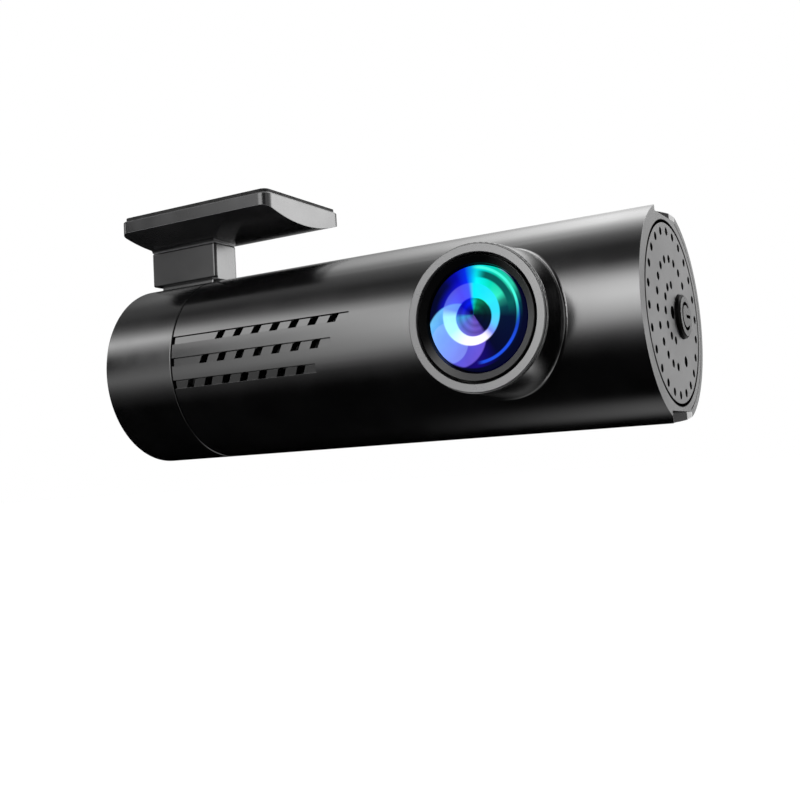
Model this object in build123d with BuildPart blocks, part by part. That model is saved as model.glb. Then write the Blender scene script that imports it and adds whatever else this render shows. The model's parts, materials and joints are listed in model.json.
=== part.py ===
"""Cylindrical windscreen dash camera, modelled as its separate pieces.

Millimetres, +Z up. The origin is the centre of the face that sticks to the windscreen.
The camera tube lies along X below it. The lens looks along -Y, and the mount is at the -X end.
Lengths along the tube are measured from a section 0.5 mm inside its mount end, and heights
from the tube's axis.
"""
from build123d import *
import os
from math import asin, cos, degrees, radians, sin

os.makedirs("parts", exist_ok=True)

# ---------------------------------------------------------------- driving dimensions
BODY_R = 15.0  # outer radius of the tube
RING_START = -0.5  # mount end of the tube
BODY_END = 90.0  # flat end of the tube
SEAM_START = 13.45  # fixed bracket ring ends here
SEAM_END = 13.75  # turning housing starts here
WALL = 1.4  # tube wall
AXIS_DROP = 26.72  # tube axis below the windscreen face
PAD_CENTRE = 15.2  # windscreen face centre, along the tube

PLATE_START = -0.3
PLATE_END = 30.7
PLATE_HALF = 10.8  # half width
PLATE_TOP = 25.95
PLATE_EDGE_Z = 23.9  # lower edge of the plate's side faces
PLATE_BELLY_Z = 22.0  # lowest point of the convex underside
PLATE_CORNER = 1.6
PLATE_RIM = 0.15  # chamfer round the plate's top
LINER_T = 0.12
PAD_INSET = 0.5

STEM_START = -0.4
STEM_END = 13.8
STEM_HALF = 2.95
STEM_FOOT_Z = 15.6
STEM_HEAD_Z = 21.65
STEM_GAP = 0.1  # parting line above the stem
STEM_ROUND = 0.5
STEM_EDGE_ROUND = 0.25  # fillet round the stem's top and bottom
NECK_INSET = 0.12  # the neck stands in from the stem's faces
NECK_BLEND = 0.5  # hollow curve from the neck out to the plate's underside
SKIRT_START = 12.6  # the stem's inner end reaches down past the ring's pedestal
SKIRT_FOOT_Z = 15.3
SKIRT_LAP = 1.0
PEDESTAL_START = 0.6
PEDESTAL_END = 12.4
PEDESTAL_HALF = 1.75
PEDESTAL_ROUND = 0.5
NECK_TOP = 23.5  # the neck runs up into the plate to here
HEX_R = 0.75  # hexagon sockets of the bracket's screws
HEX_DEPTH = 0.6

BULKHEAD_START = 11.0  # ring bulkhead that carries the journal
BULKHEAD_END = 13.2
JOURNAL_R = 5.0
RUNNING_GAP = 0.05  # radial clearance of the journal
STOP_RING_R = 9.5  # circle that the stop lug moves on
STOP_LUG_R = 1.0
TILT_DOWN = 45.0  # tilt limits of the camera, degrees
TILT_UP = 90.0

LENS_X = 69.7
BARREL_BASE_R = 10.45
BARREL_FRONT_R = 9.95
BARREL_OUT = 19.96  # barrel front, measured from the tube axis
BEZEL_OUT = 20.46
BEZEL_R = 9.75
BEZEL_INNER_R = 8.6
BARREL_ROOT = 8.0  # the barrel's solid starts here, inside the tube
BARREL_FILLET = 0.5
BARREL_RIM_ROUND = 0.15
LENS_BORE_START = 4.0
LENS_BORE_R = 8.75

VENT_ROWS = 3
VENT_COUNT = 7
VENT_PITCH = 3.48
VENT_WIDTH = 1.45
VENT_HEIGHT = 1.34
VENT_LEAN = 0.65
VENT_FIRST = 22.25  # lower left corner of the top row's first slot
VENT_STAGGER = 3.05  # each lower row starts this much nearer the mount
VENT_TAIL = 46.9  # the top row's louvre ends here
VENT_TOP_ANGLE = 14.2  # elevation of the top row
VENT_ROW_ANGLE = 13.6
LOUVRE_DEPTH = 0.12
LOUVRE_GROOVE_W = 0.16  # fine groove along the louvre's upper edge
LOUVRE_GROOVE_DEPTH = 0.4
LOUVRE_SLIT = 0.4  # each louvre opens into the seam through a slit this long
LOUVRE_SLIT_DEPTH = 0.9
VENT_CUT = 2.4  # the slots are cut this deep, through the wall

CAP_R = 12.43
CAP_SEAT_R = 12.8
CAP_T = 1.6
HOLE_R = 0.58
BUTTON_PLACE = (3.95, -0.2)  # places on the end cap are (Y, Z)
BUTTON_R = 3.1
BUTTON_BORE_R = 3.18
BUTTON_PROUD = 0.71
BUTTON_EDGE = 0.3
BUTTON_TRAVEL = 0.5
RESET_PLACE = (4.3, -6.5)
RESET_HOLE_R = 0.78
MIC_PLACE = (-0.4, 0)
MIC_HOLE_R = 0.92
SPEAKER_PLACE = (-7.9, 0)
NOTCH_FLOOR = 13.45  # the rim's notches reach in to this height
# Plan of a notch, as (distance back from the flat end, Y): a long ramp and a short steep one.
NOTCH_PLAN = ((-0.5, -5.0), (0.0, -5.0), (1.8, 1.9), (0.4, 3.65), (0.0, 4.8), (-0.5, 4.8))
NOTCH_BACK_Y = 4.8

BOARD_FRONT = 1.6  # main board, depth behind the tube axis
BOARD_BACK = 2.6
USB_X = 39.0
CARD_X = 53.0
LED_WIRELESS_X = 69.4
LED_CAMERA_X = 64.2
LED_Z = 0.6


# ---------------------------------------------------------------- construction planes
def across(x):
    """Section across the tube, x from its mount end: local x is +Y, local y is +Z."""
    return Plane(origin=(x - PAD_CENTRE, 0, -AXIS_DROP), x_dir=(0, 1, 0), z_dir=(1, 0, 0))


def front_view(y):
    """Plane seen from the front at depth y: local x runs along the tube, extrusion goes to -Y."""
    return Plane(origin=(-PAD_CENTRE, y, -AXIS_DROP), x_dir=(1, 0, 0), z_dir=(0, -1, 0))


def level(z):
    """Horizontal plane, z above the tube axis: local x runs along the tube, local y is +Y."""
    return Plane(origin=(-PAD_CENTRE, 0, z - AXIS_DROP), x_dir=(1, 0, 0), z_dir=(0, 0, 1))


def facing(out):
    """Plane across the lens axis, out in front of the tube axis, extrusion goes outwards."""
    return Plane(origin=(LENS_X - PAD_CENTRE, -out, -AXIS_DROP), x_dir=(1, 0, 0), z_dir=(0, -1, 0))


def vent_plane(angle):
    """Plane that touches the tube at an elevation angle above the front."""
    y = -BODY_R * cos(radians(angle))
    z = BODY_R * sin(radians(angle))
    normal = (0, y / BODY_R, z / BODY_R)
    return Plane(origin=(-PAD_CENTRE, y, z - AXIS_DROP), x_dir=(1, 0, 0), z_dir=normal)


def louvre_plane(angle, x):
    """Section across the tube whose local x is the outward radius at an elevation angle."""
    outward = (0, -cos(radians(angle)), sin(radians(angle)))
    return Plane(origin=(x - PAD_CENTRE, 0, -AXIS_DROP), x_dir=outward, z_dir=(1, 0, 0))


# Section through the lens: local x is the radius from the lens axis, local y goes outwards.
LENS_SECTION = Plane(
    origin=(LENS_X - PAD_CENTRE, 0, -AXIS_DROP), x_dir=(1, 0, 0), z_dir=(0, 0, -1)
)
LENS_AXIS = Axis((LENS_X - PAD_CENTRE, 0, -AXIS_DROP), (0, -1, 0))


def dome_arc(edge_r, edge_out, rise):
    """Arc of a lens surface in LENS_SECTION, from its edge to its crown on the lens axis."""
    sphere_r = (edge_r**2 + rise**2) / (2 * rise)
    centre_out = edge_out + rise - sphere_r
    start = degrees(asin((edge_out - centre_out) / sphere_r))
    CenterArc((0, centre_out), sphere_r, start, 90 - start)


# ================================================================ bracket
NECK_HALF = STEM_HALF - NECK_INSET
NECK_WIDE = NECK_HALF + NECK_BLEND
NECK_ROOT_Z = 22.19  # the plate's underside at the outer edge of the blend
PLATE_MID = (PLATE_START + PLATE_END) / 2
PLATE_LENGTH = PLATE_END - PLATE_START
STEM_MID = (STEM_START + STEM_END) / 2
STEM_LENGTH = STEM_END - STEM_START
PLATE_SCREW_R = 0.9
PLATE_SCREW_HEAD_R = 1.8
PLATE_SCREW_HEAD_T = 1.1
PLATE_SCREW_SINK = 0.1  # heads lie this far below the plate's top
PLATE_SCREW_TIP = 19.2
SCREW_GAP = 0.03  # clearance round every screw
# Two screws from above and two from below share the same pair of holes through the stem.
STEM_SCREW_PLACES = ((3.2, 0), (9.2, 0))

with BuildPart() as mount_plate:
    with BuildSketch(across(PLATE_START)):
        with BuildLine():
            Line((-PLATE_HALF, PLATE_EDGE_Z), (-PLATE_HALF, PLATE_TOP))
            Line((-PLATE_HALF, PLATE_TOP), (PLATE_HALF, PLATE_TOP))
            Line((PLATE_HALF, PLATE_TOP), (PLATE_HALF, PLATE_EDGE_Z))
            ThreePointArc(
                (PLATE_HALF, PLATE_EDGE_Z), (0, PLATE_BELLY_Z), (-PLATE_HALF, PLATE_EDGE_Z)
            )
        make_face()
    extrude(amount=PLATE_LENGTH)
    fillet(mount_plate.edges().filter_by(Axis.Z), radius=PLATE_CORNER)
    chamfer(mount_plate.faces().sort_by(Axis.Z)[-1].edges(), length=PLATE_RIM)
    # The neck widens in a hollow curve into the plate's underside.
    with BuildSketch(across(STEM_START + NECK_INSET)):
        with BuildLine():
            Line((-NECK_HALF, STEM_HEAD_Z), (NECK_HALF, STEM_HEAD_Z))
            TangentArc((NECK_HALF, STEM_HEAD_Z), (NECK_WIDE, NECK_ROOT_Z), tangent=(0, 1))
            Line((NECK_WIDE, NECK_ROOT_Z), (NECK_WIDE, NECK_TOP))
            Line((NECK_WIDE, NECK_TOP), (-NECK_WIDE, NECK_TOP))
            Line((-NECK_WIDE, NECK_TOP), (-NECK_WIDE, NECK_ROOT_Z))
            TangentArc((-NECK_HALF, STEM_HEAD_Z), (-NECK_WIDE, NECK_ROOT_Z), tangent=(0, 1))
        make_face()
    extrude(amount=STEM_LENGTH - 2 * NECK_INSET)
    with BuildSketch(level(STEM_HEAD_Z)):
        with Locations(*STEM_SCREW_PLACES):
            Circle(PLATE_SCREW_R + SCREW_GAP)
    extrude(amount=PLATE_TOP - STEM_HEAD_Z, mode=Mode.SUBTRACT)
    with BuildSketch(level(PLATE_TOP)):
        with Locations(*STEM_SCREW_PLACES):
            Circle(PLATE_SCREW_HEAD_R + SCREW_GAP)
    extrude(amount=-PLATE_SCREW_HEAD_T - SCREW_GAP, mode=Mode.SUBTRACT)
mount_plate.part.label = "mount_plate"
export_step(mount_plate.part, "parts/mount_plate.step")

with BuildPart() as adhesive_pad:
    with BuildSketch(level(PLATE_TOP)):
        with Locations((PLATE_MID, 0)):
            RectangleRounded(
                PLATE_LENGTH - 2 * PAD_INSET, 2 * (PLATE_HALF - PAD_INSET), PLATE_CORNER - PAD_INSET
            )
    extrude(amount=AXIS_DROP - LINER_T - PLATE_TOP)
adhesive_pad.part.label = "adhesive_pad"
export_step(adhesive_pad.part, "parts/adhesive_pad.step")

LINER_INSET = 0.9  # the liner lies inside the pad's outline
LINER_TAB_H = 0.6  # its back edge is folded down over the pad
LINER_LENGTH = PLATE_LENGTH - 2 * PAD_INSET - 2 * LINER_INSET
LINER_BACK = PLATE_HALF - PAD_INSET
LINER_CORNER = 0.6

with BuildPart() as release_liner:
    with BuildSketch(level(AXIS_DROP - LINER_T)):
        with Locations((PLATE_MID, LINER_INSET / 2)):
            RectangleRounded(LINER_LENGTH, 2 * LINER_BACK - LINER_INSET, LINER_CORNER)
    extrude(amount=LINER_T)
    with BuildSketch(level(AXIS_DROP)):
        with Locations((PLATE_MID, LINER_BACK)):
            Rectangle(LINER_LENGTH - 2 * PLATE_CORNER, 2 * LINER_T)
    extrude(amount=-LINER_T)
    with BuildSketch(level(AXIS_DROP)):
        with Locations((PLATE_MID, LINER_BACK + LINER_T / 2)):
            Rectangle(LINER_LENGTH - 2 * PLATE_CORNER, LINER_T)
    extrude(amount=-LINER_TAB_H)
release_liner.part.label = "release_liner"
export_step(release_liner.part, "parts/release_liner.step")

with BuildPart() as bracket_stem:
    with BuildSketch(level(STEM_FOOT_Z)):
        with Locations((STEM_MID, 0)):
            Rectangle(STEM_LENGTH, 2 * STEM_HALF)
    extrude(amount=STEM_HEAD_Z - STEM_GAP - STEM_FOOT_Z)
    fillet(bracket_stem.edges().filter_by(Axis.Z), radius=STEM_ROUND)
    fillet(bracket_stem.faces().sort_by(Axis.Z)[0].edges(), radius=STEM_EDGE_ROUND)
    fillet(bracket_stem.faces().sort_by(Axis.Z)[-1].edges(), radius=STEM_EDGE_ROUND)
    with BuildSketch(across(SKIRT_START)):
        with Locations((0, (SKIRT_FOOT_Z + STEM_FOOT_Z) / 2 + SKIRT_LAP / 2)):
            Rectangle(2 * (STEM_HALF - STEM_ROUND), STEM_FOOT_Z - SKIRT_FOOT_Z + SKIRT_LAP)
    extrude(amount=STEM_END - SKIRT_START)
    # A low plinth on top meets the plate's neck and makes the parting line.
    with BuildSketch(level(STEM_HEAD_Z - STEM_GAP)):
        with Locations((STEM_MID, 0)):
            RectangleRounded(
                STEM_LENGTH - 2 * NECK_INSET, 2 * (STEM_HALF - NECK_INSET), STEM_ROUND
            )
    extrude(amount=STEM_GAP)
    with BuildSketch(level(STEM_FOOT_Z)):
        with Locations(*STEM_SCREW_PLACES):
            Circle(PLATE_SCREW_R + SCREW_GAP)
    extrude(amount=STEM_HEAD_Z - STEM_FOOT_Z, mode=Mode.SUBTRACT)
bracket_stem.part.label = "bracket_stem"
export_step(bracket_stem.part, "parts/bracket_stem.step")

with BuildPart() as plate_screws:
    with BuildSketch(level(PLATE_SCREW_TIP)):
        with Locations(*STEM_SCREW_PLACES):
            Circle(PLATE_SCREW_R)
    extrude(amount=PLATE_TOP - PLATE_SCREW_TIP - PLATE_SCREW_HEAD_T)
    with BuildSketch(level(PLATE_TOP - PLATE_SCREW_SINK)):
        with Locations(*STEM_SCREW_PLACES):
            Circle(PLATE_SCREW_HEAD_R)
    extrude(amount=PLATE_SCREW_SINK - PLATE_SCREW_HEAD_T)
    with BuildSketch(level(PLATE_TOP - PLATE_SCREW_SINK)):
        with Locations(*STEM_SCREW_PLACES):
            RegularPolygon(HEX_R, 6)
    extrude(amount=-HEX_DEPTH, mode=Mode.SUBTRACT)
plate_screws.part.label = "plate_screws"
export_step(plate_screws.part, "parts/plate_screws.step")

# ---------------------------------------------------------------- ring
RING_WALL = 2.2
DISC_R = 13.3
DISC_T = 1.4
DISC_GAP = 0.12
DISC_SINK = 0.1  # the disc lies this far inside the ring's end
DISC_EDGE = 0.15
RING_EDGE_ROUND = 0.3
SEAM_EDGE_ROUND = 0.15
STEM_SCREW_HEAD_R = 1.6
STEM_SCREW_HEAD_T = 0.9
STEM_SCREW_SEAT = BODY_R - RING_WALL  # inside face of the ring under the stem
STEM_SCREW_SINK = 0.4  # the heads are let in this far
STEM_SCREW_TIP = 18.6
STOP_MARGIN = 1.0  # degrees of slot beyond each limit
STOP_SLOT_GAP = 0.15
STOP_ARC_START = -90 - TILT_UP - STOP_MARGIN
STOP_ARC_SIZE = TILT_UP + TILT_DOWN + 2 * STOP_MARGIN

with BuildPart() as bracket_ring:
    with BuildSketch(across(RING_START)):
        Circle(BODY_R)
    extrude(amount=SEAM_START - RING_START)
    fillet(bracket_ring.faces().sort_by(Axis.X)[0].edges(), radius=RING_EDGE_ROUND)
    fillet(bracket_ring.faces().sort_by(Axis.X)[-1].edges(), radius=SEAM_EDGE_ROUND)
    # Pedestal under the stem.
    with BuildSketch(level(STEM_SCREW_SEAT)):
        with Locations(((PEDESTAL_START + PEDESTAL_END) / 2, 0)):
            RectangleRounded(PEDESTAL_END - PEDESTAL_START, 2 * PEDESTAL_HALF, PEDESTAL_ROUND)
    extrude(amount=STEM_FOOT_Z - STEM_SCREW_SEAT)
    # Hollow behind the closing disc, and the disc's own seat.
    with BuildSketch(across(RING_START + DISC_T)):
        Circle(BODY_R - RING_WALL)
    extrude(amount=BULKHEAD_START - RING_START - DISC_T, mode=Mode.SUBTRACT)
    with BuildSketch(across(RING_START)):
        Circle(DISC_R + DISC_GAP)
    extrude(amount=DISC_T, mode=Mode.SUBTRACT)
    # The open side of the bulkhead, towards the camera.
    with BuildSketch(across(BULKHEAD_END)):
        Circle(BODY_R - WALL)
    extrude(amount=SEAM_START - BULKHEAD_END, mode=Mode.SUBTRACT)
    # Bearing bore for the journal, and the slot that limits the tilt.
    with BuildSketch(across(BULKHEAD_START)):
        Circle(JOURNAL_R + RUNNING_GAP)
    extrude(amount=BULKHEAD_END - BULKHEAD_START, mode=Mode.SUBTRACT)
    with BuildSketch(across(BULKHEAD_START)):
        with BuildLine():
            stop_arc = CenterArc((0, 0), STOP_RING_R, STOP_ARC_START, STOP_ARC_SIZE)
        SlotArc(stop_arc, 2 * (STOP_LUG_R + STOP_SLOT_GAP))
    extrude(amount=BULKHEAD_END - BULKHEAD_START, mode=Mode.SUBTRACT)
    # Flat seats and holes for the screws that hold the stem.
    with BuildSketch(level(STEM_SCREW_SEAT - STEM_SCREW_HEAD_T)):
        with Locations(*STEM_SCREW_PLACES):
            Circle(STEM_SCREW_HEAD_R + SCREW_GAP)
    extrude(amount=STEM_SCREW_HEAD_T + STEM_SCREW_SINK, mode=Mode.SUBTRACT)
    with BuildSketch(level(STEM_SCREW_SEAT - STEM_SCREW_HEAD_T)):
        with Locations(*STEM_SCREW_PLACES):
            Circle(PLATE_SCREW_R + SCREW_GAP)
    extrude(amount=STEM_FOOT_Z - STEM_SCREW_SEAT + STEM_SCREW_HEAD_T, mode=Mode.SUBTRACT)
bracket_ring.part.label = "bracket_ring"
export_step(bracket_ring.part, "parts/bracket_ring.step")

with BuildPart() as stem_screws:
    with BuildSketch(level(STEM_SCREW_SEAT + STEM_SCREW_SINK)):
        with Locations(*STEM_SCREW_PLACES):
            Circle(STEM_SCREW_HEAD_R)
    extrude(amount=-STEM_SCREW_HEAD_T)
    with BuildSketch(level(STEM_SCREW_SEAT + STEM_SCREW_SINK)):
        with Locations(*STEM_SCREW_PLACES):
            Circle(PLATE_SCREW_R)
    extrude(amount=STEM_SCREW_TIP - STEM_SCREW_SEAT - STEM_SCREW_SINK)
    with BuildSketch(level(STEM_SCREW_SEAT + STEM_SCREW_SINK - STEM_SCREW_HEAD_T)):
        with Locations(*STEM_SCREW_PLACES):
            RegularPolygon(HEX_R, 6)
    extrude(amount=HEX_DEPTH, mode=Mode.SUBTRACT)
stem_screws.part.label = "stem_screws"
export_step(stem_screws.part, "parts/stem_screws.step")

with BuildPart() as ring_end_disc:
    with BuildSketch(across(RING_START + DISC_SINK)):
        Circle(DISC_R)
    extrude(amount=DISC_T - DISC_SINK)
    chamfer(ring_end_disc.faces().sort_by(Axis.X)[0].edges(), length=DISC_EDGE)
ring_end_disc.part.label = "ring_end_disc"
export_step(ring_end_disc.part, "parts/ring_end_disc.step")

# ================================================================ tilt joint
JOURNAL_START = 10.3
JOURNAL_BORE_R = 3.2
RETAINER_T = 1.0
RETAINER_R = 8.4
WASHER_R = 7.8
WASHER_GAP = 0.1
PIVOT_SCREW_CIRCLE = 4.1
PIVOT_SCREW_PLACES = PolarLocations(PIVOT_SCREW_CIRCLE, 3)
PIVOT_SCREW_R = 0.5
PIVOT_HEAD_R = 0.85
PIVOT_HEAD_T = 0.5
PIVOT_SCREW_LENGTH = 3.5

with BuildPart() as friction_washer:
    with BuildSketch(across(JOURNAL_START)):
        Circle(WASHER_R)
        Circle(JOURNAL_R + WASHER_GAP, mode=Mode.SUBTRACT)
    extrude(amount=BULKHEAD_START - JOURNAL_START - SCREW_GAP)
friction_washer.part.label = "friction_washer"
export_step(friction_washer.part, "parts/friction_washer.step")

with BuildPart() as retaining_plate:
    with BuildSketch(across(JOURNAL_START - RETAINER_T)):
        Circle(RETAINER_R)
        Circle(JOURNAL_BORE_R, mode=Mode.SUBTRACT)
        with PIVOT_SCREW_PLACES:
            Circle(PIVOT_SCREW_R + SCREW_GAP, mode=Mode.SUBTRACT)
    extrude(amount=RETAINER_T)
retaining_plate.part.label = "retaining_plate"
export_step(retaining_plate.part, "parts/retaining_plate.step")

with BuildPart() as pivot_screws:
    with BuildSketch(across(JOURNAL_START - RETAINER_T)):
        with PIVOT_SCREW_PLACES:
            Circle(PIVOT_SCREW_R)
    extrude(amount=PIVOT_SCREW_LENGTH)
    with BuildSketch(across(JOURNAL_START - RETAINER_T)):
        with PIVOT_SCREW_PLACES:
            Circle(PIVOT_HEAD_R)
    extrude(amount=-PIVOT_HEAD_T)
pivot_screws.part.label = "pivot_screws"
export_step(pivot_screws.part, "parts/pivot_screws.step")

# ================================================================ main housing
INNER_R = BODY_R - WALL
END_WALL_T = 1.6  # wall at the mount end of the housing
CAVITY_START = SEAM_END + END_WALL_T
CAP_SEAT = BODY_END - CAP_T
MESH_T = 0.1
TAB_END = CAP_SEAT - MESH_T  # the four tabs behind the cap
TAB_T = 1.5
TAB_ANGLES = (37.5, 142.5, 217.5, 322.5)
TAB_R = 11.1
TAB_W = 3.4
TAB_ROOT = 0.4  # the tabs run this far into the wall
CAP_POST_R = 0.6
CAP_POST_GAP = 0.02
CAP_POST_CIRCLE = 11.75
CAP_POST_PLACES = [
    (CAP_POST_CIRCLE * cos(radians(angle)), CAP_POST_CIRCLE * sin(radians(angle)))
    for angle in TAB_ANGLES
]
STOP_LUG_END = 11.8
SLOT_START = 11.6  # the cuts for inlet and card start here and go up through the wall
SLOT_CUT = 4.4
USB_SLOT = (9.6, 3.6)
USB_SLOT_ROUND = 1.79
CARD_SLOT = (12.4, 1.7)
CARD_SLOT_ROUND = 0.5
CARD_Y = 0.85
VENT_SLANT = (
    (0, -VENT_HEIGHT / 2),
    (VENT_WIDTH, -VENT_HEIGHT / 2),
    (VENT_WIDTH + VENT_LEAN, VENT_HEIGHT / 2),
    (VENT_LEAN, VENT_HEIGHT / 2),
)
LOUVRE_OUT = BODY_R + 0.4
LOUVRE_WEDGE = (
    (BODY_R - LOUVRE_GROOVE_DEPTH, -VENT_HEIGHT / 2),
    (LOUVRE_OUT, -VENT_HEIGHT / 2),
    (LOUVRE_OUT, VENT_HEIGHT / 2),
    (BODY_R - LOUVRE_DEPTH, VENT_HEIGHT / 2),
    (BODY_R - LOUVRE_DEPTH, LOUVRE_GROOVE_W - VENT_HEIGHT / 2),
    (BODY_R - LOUVRE_GROOVE_DEPTH, LOUVRE_GROOVE_W - VENT_HEIGHT / 2),
)
REAR_GROOVE_R = 14.0
REAR_GROOVE_W = 0.18
REAR_GROOVE_DEPTH = 0.5
ICON_FLOOR_Y = 14.5  # the icons are inlaid in the wall down to here
ICON_REACH = 3.0  # half length of the cuts that shape an icon
ARC_CENTRE = 1.0  # the wireless arcs spread from a dot here
ARC_RADII = (0.85, 1.45, 2.05)
ARC_LINE = 0.26
ARC_DOT_R = 0.28


def icon_plane(x):
    """Plane of a status icon on the back of the tube, seen from behind: local x is -X."""
    return Plane(
        origin=(x - PAD_CENTRE, ICON_FLOOR_Y, LED_Z - AXIS_DROP), x_dir=(-1, 0, 0), z_dir=(0, 1, 0)
    )


# Camera outline: a rounded box with an open middle, and a wedge joined to its side.
ICON_BOX = (2.2, 1.75)
ICON_BOX_CORNER = 0.2
ICON_OPENING = (1.55, 1.1)
ICON_OPENING_CORNER = 0.12
WEDGE_ROOT = 1.45
WEDGE_END = 2.15
WEDGE_ROOT_HALF = 0.3
WEDGE_END_HALF = 0.75
WEDGE_BRIDGE = (0.45, 0.4)
ARC_FROM = 140  # the wireless arcs start at this angle and span ARC_SPAN, degrees
ARC_SPAN = 80

with BuildSketch() as camera_outline:
    RectangleRounded(*ICON_BOX, ICON_BOX_CORNER)
    with Locations((WEDGE_ROOT, 0)):
        Rectangle(*WEDGE_BRIDGE)
    with BuildLine():
        Polyline(
            (WEDGE_ROOT, WEDGE_ROOT_HALF),
            (WEDGE_END, WEDGE_END_HALF),
            (WEDGE_END, -WEDGE_END_HALF),
            (WEDGE_ROOT, -WEDGE_ROOT_HALF),
            close=True,
        )
    make_face()
    RectangleRounded(*ICON_OPENING, ICON_OPENING_CORNER, mode=Mode.SUBTRACT)

with BuildSketch() as wireless_arcs:
    with Locations((ARC_CENTRE, 0)):
        Circle(ARC_DOT_R)
    for arc_r in ARC_RADII:
        SlotArc(CenterArc((ARC_CENTRE, 0), arc_r, ARC_FROM, ARC_SPAN), ARC_LINE)

with BuildPart() as main_housing:
    with BuildSketch(across(SEAM_END)):
        Circle(BODY_R)
    extrude(amount=BODY_END - SEAM_END)
    # Lens barrel, with a small fillet where it grows out of the tube.
    with BuildSketch(LENS_SECTION):
        with BuildLine():
            Polyline(
                (0, BARREL_ROOT),
                (BARREL_BASE_R, BARREL_ROOT),
                (BARREL_FRONT_R, BARREL_OUT),
                (0, BARREL_OUT),
                close=True,
            )
        make_face()
    revolve(axis=LENS_AXIS)
    barrel_foot = main_housing.edges().filter_by(GeomType.BSPLINE)
    fillet(barrel_foot, radius=BARREL_FILLET)
    barrel_rim = main_housing.edges().filter_by(GeomType.CIRCLE).sort_by(Axis.Y)[0]
    fillet(barrel_rim, radius=BARREL_RIM_ROUND)
    # Inner cavity: closed at the mount end, stepped for the end cap at the other.
    with BuildSketch(across(CAVITY_START)):
        Circle(INNER_R)
    extrude(amount=CAP_SEAT - CAVITY_START, mode=Mode.SUBTRACT)
    with BuildSketch(across(CAP_SEAT)):
        Circle(CAP_SEAT_R)
    extrude(amount=CAP_T, mode=Mode.SUBTRACT)
    with BuildSketch(facing(LENS_BORE_START)):
        Circle(LENS_BORE_R)
    extrude(amount=BARREL_OUT - LENS_BORE_START, mode=Mode.SUBTRACT)
    # Tabs that the end cap seats on.
    with BuildSketch(across(TAB_END)):
        for tab_angle in TAB_ANGLES:
            with Locations(Location((0, 0, 0), (0, 0, tab_angle))):
                with Locations(((TAB_R + INNER_R) / 2, 0)):
                    Rectangle(INNER_R - TAB_R + TAB_ROOT, TAB_W)
        with Locations(*CAP_POST_PLACES):
            Circle(CAP_POST_R + CAP_POST_GAP, mode=Mode.SUBTRACT)
    extrude(amount=-TAB_T)
    # Journal that turns in the bracket ring, and the stop lug.
    with BuildSketch(across(SEAM_END)):
        Circle(JOURNAL_R)
    extrude(amount=JOURNAL_START - SEAM_END)
    with BuildSketch(across(JOURNAL_START)):
        Circle(JOURNAL_BORE_R)
    extrude(amount=CAVITY_START - JOURNAL_START, mode=Mode.SUBTRACT)
    with BuildSketch(across(JOURNAL_START)):
        with PIVOT_SCREW_PLACES:
            Circle(PIVOT_SCREW_R + SCREW_GAP)
    extrude(amount=PIVOT_SCREW_LENGTH - RETAINER_T, mode=Mode.SUBTRACT)
    with BuildSketch(across(SEAM_END)):
        with Locations((0, -STOP_RING_R)):
            Circle(STOP_LUG_R)
    extrude(amount=STOP_LUG_END - SEAM_END)
    # Louvres and their slanted slots.
    for row in range(VENT_ROWS):
        row_angle = VENT_TOP_ANGLE - row * VENT_ROW_ANGLE
        shift = row * VENT_STAGGER
        with BuildSketch(louvre_plane(row_angle, SEAM_END)):
            Polygon(*LOUVRE_WEDGE, align=None)
        extrude(amount=VENT_TAIL - shift - SEAM_END, mode=Mode.SUBTRACT)
        with BuildSketch(louvre_plane(row_angle, SEAM_END)):
            with Locations(((LOUVRE_OUT + BODY_R - LOUVRE_SLIT_DEPTH) / 2, 0)):
                Rectangle(LOUVRE_OUT - BODY_R + LOUVRE_SLIT_DEPTH, VENT_HEIGHT)
        extrude(amount=LOUVRE_SLIT, mode=Mode.SUBTRACT)
        with BuildSketch(vent_plane(row_angle)):
            for slot in range(VENT_COUNT):
                with Locations((VENT_FIRST - shift + slot * VENT_PITCH, 0)):
                    Polygon(*VENT_SLANT, align=None)
        extrude(amount=-VENT_CUT, mode=Mode.SUBTRACT)
    # Power inlet and memory card slot on top.
    with BuildSketch(level(SLOT_START)):
        with Locations((USB_X, 0)):
            RectangleRounded(*USB_SLOT, radius=USB_SLOT_ROUND)
        with Locations((CARD_X, CARD_Y)):
            RectangleRounded(*CARD_SLOT, radius=CARD_SLOT_ROUND)
    extrude(amount=SLOT_CUT, mode=Mode.SUBTRACT)
    # Notches in the rim, top and bottom, and the fine groove round its back half.
    with BuildSketch(level(NOTCH_FLOOR)):
        Polygon(*[(BODY_END - back, y) for back, y in NOTCH_PLAN], align=None)
    extrude(amount=BODY_R - NOTCH_FLOOR, mode=Mode.SUBTRACT)
    with BuildSketch(level(-NOTCH_FLOOR)):
        Polygon(*[(BODY_END - back, y) for back, y in NOTCH_PLAN], align=None)
    extrude(amount=NOTCH_FLOOR - BODY_R, mode=Mode.SUBTRACT)
    with BuildSketch(across(BODY_END)):
        Circle(REAR_GROOVE_R + REAR_GROOVE_W / 2)
        Circle(REAR_GROOVE_R - REAR_GROOVE_W / 2, mode=Mode.SUBTRACT)
        with Locations((NOTCH_BACK_Y - BODY_R, 0)):
            Rectangle(2 * BODY_R, 2 * BODY_R, mode=Mode.SUBTRACT)
    extrude(amount=-REAR_GROOVE_DEPTH, mode=Mode.SUBTRACT)
    # Recesses for the two status icons.
    with BuildSketch(icon_plane(LED_CAMERA_X)):
        add(camera_outline.sketch)
    extrude(amount=ICON_REACH, dir=(0, 1, 0), mode=Mode.SUBTRACT)
    with BuildSketch(icon_plane(LED_WIRELESS_X)):
        add(wireless_arcs.sketch)
    extrude(amount=ICON_REACH, dir=(0, 1, 0), mode=Mode.SUBTRACT)
main_housing.part.label = "main_housing"
export_step(main_housing.part, "parts/main_housing.step")

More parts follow.
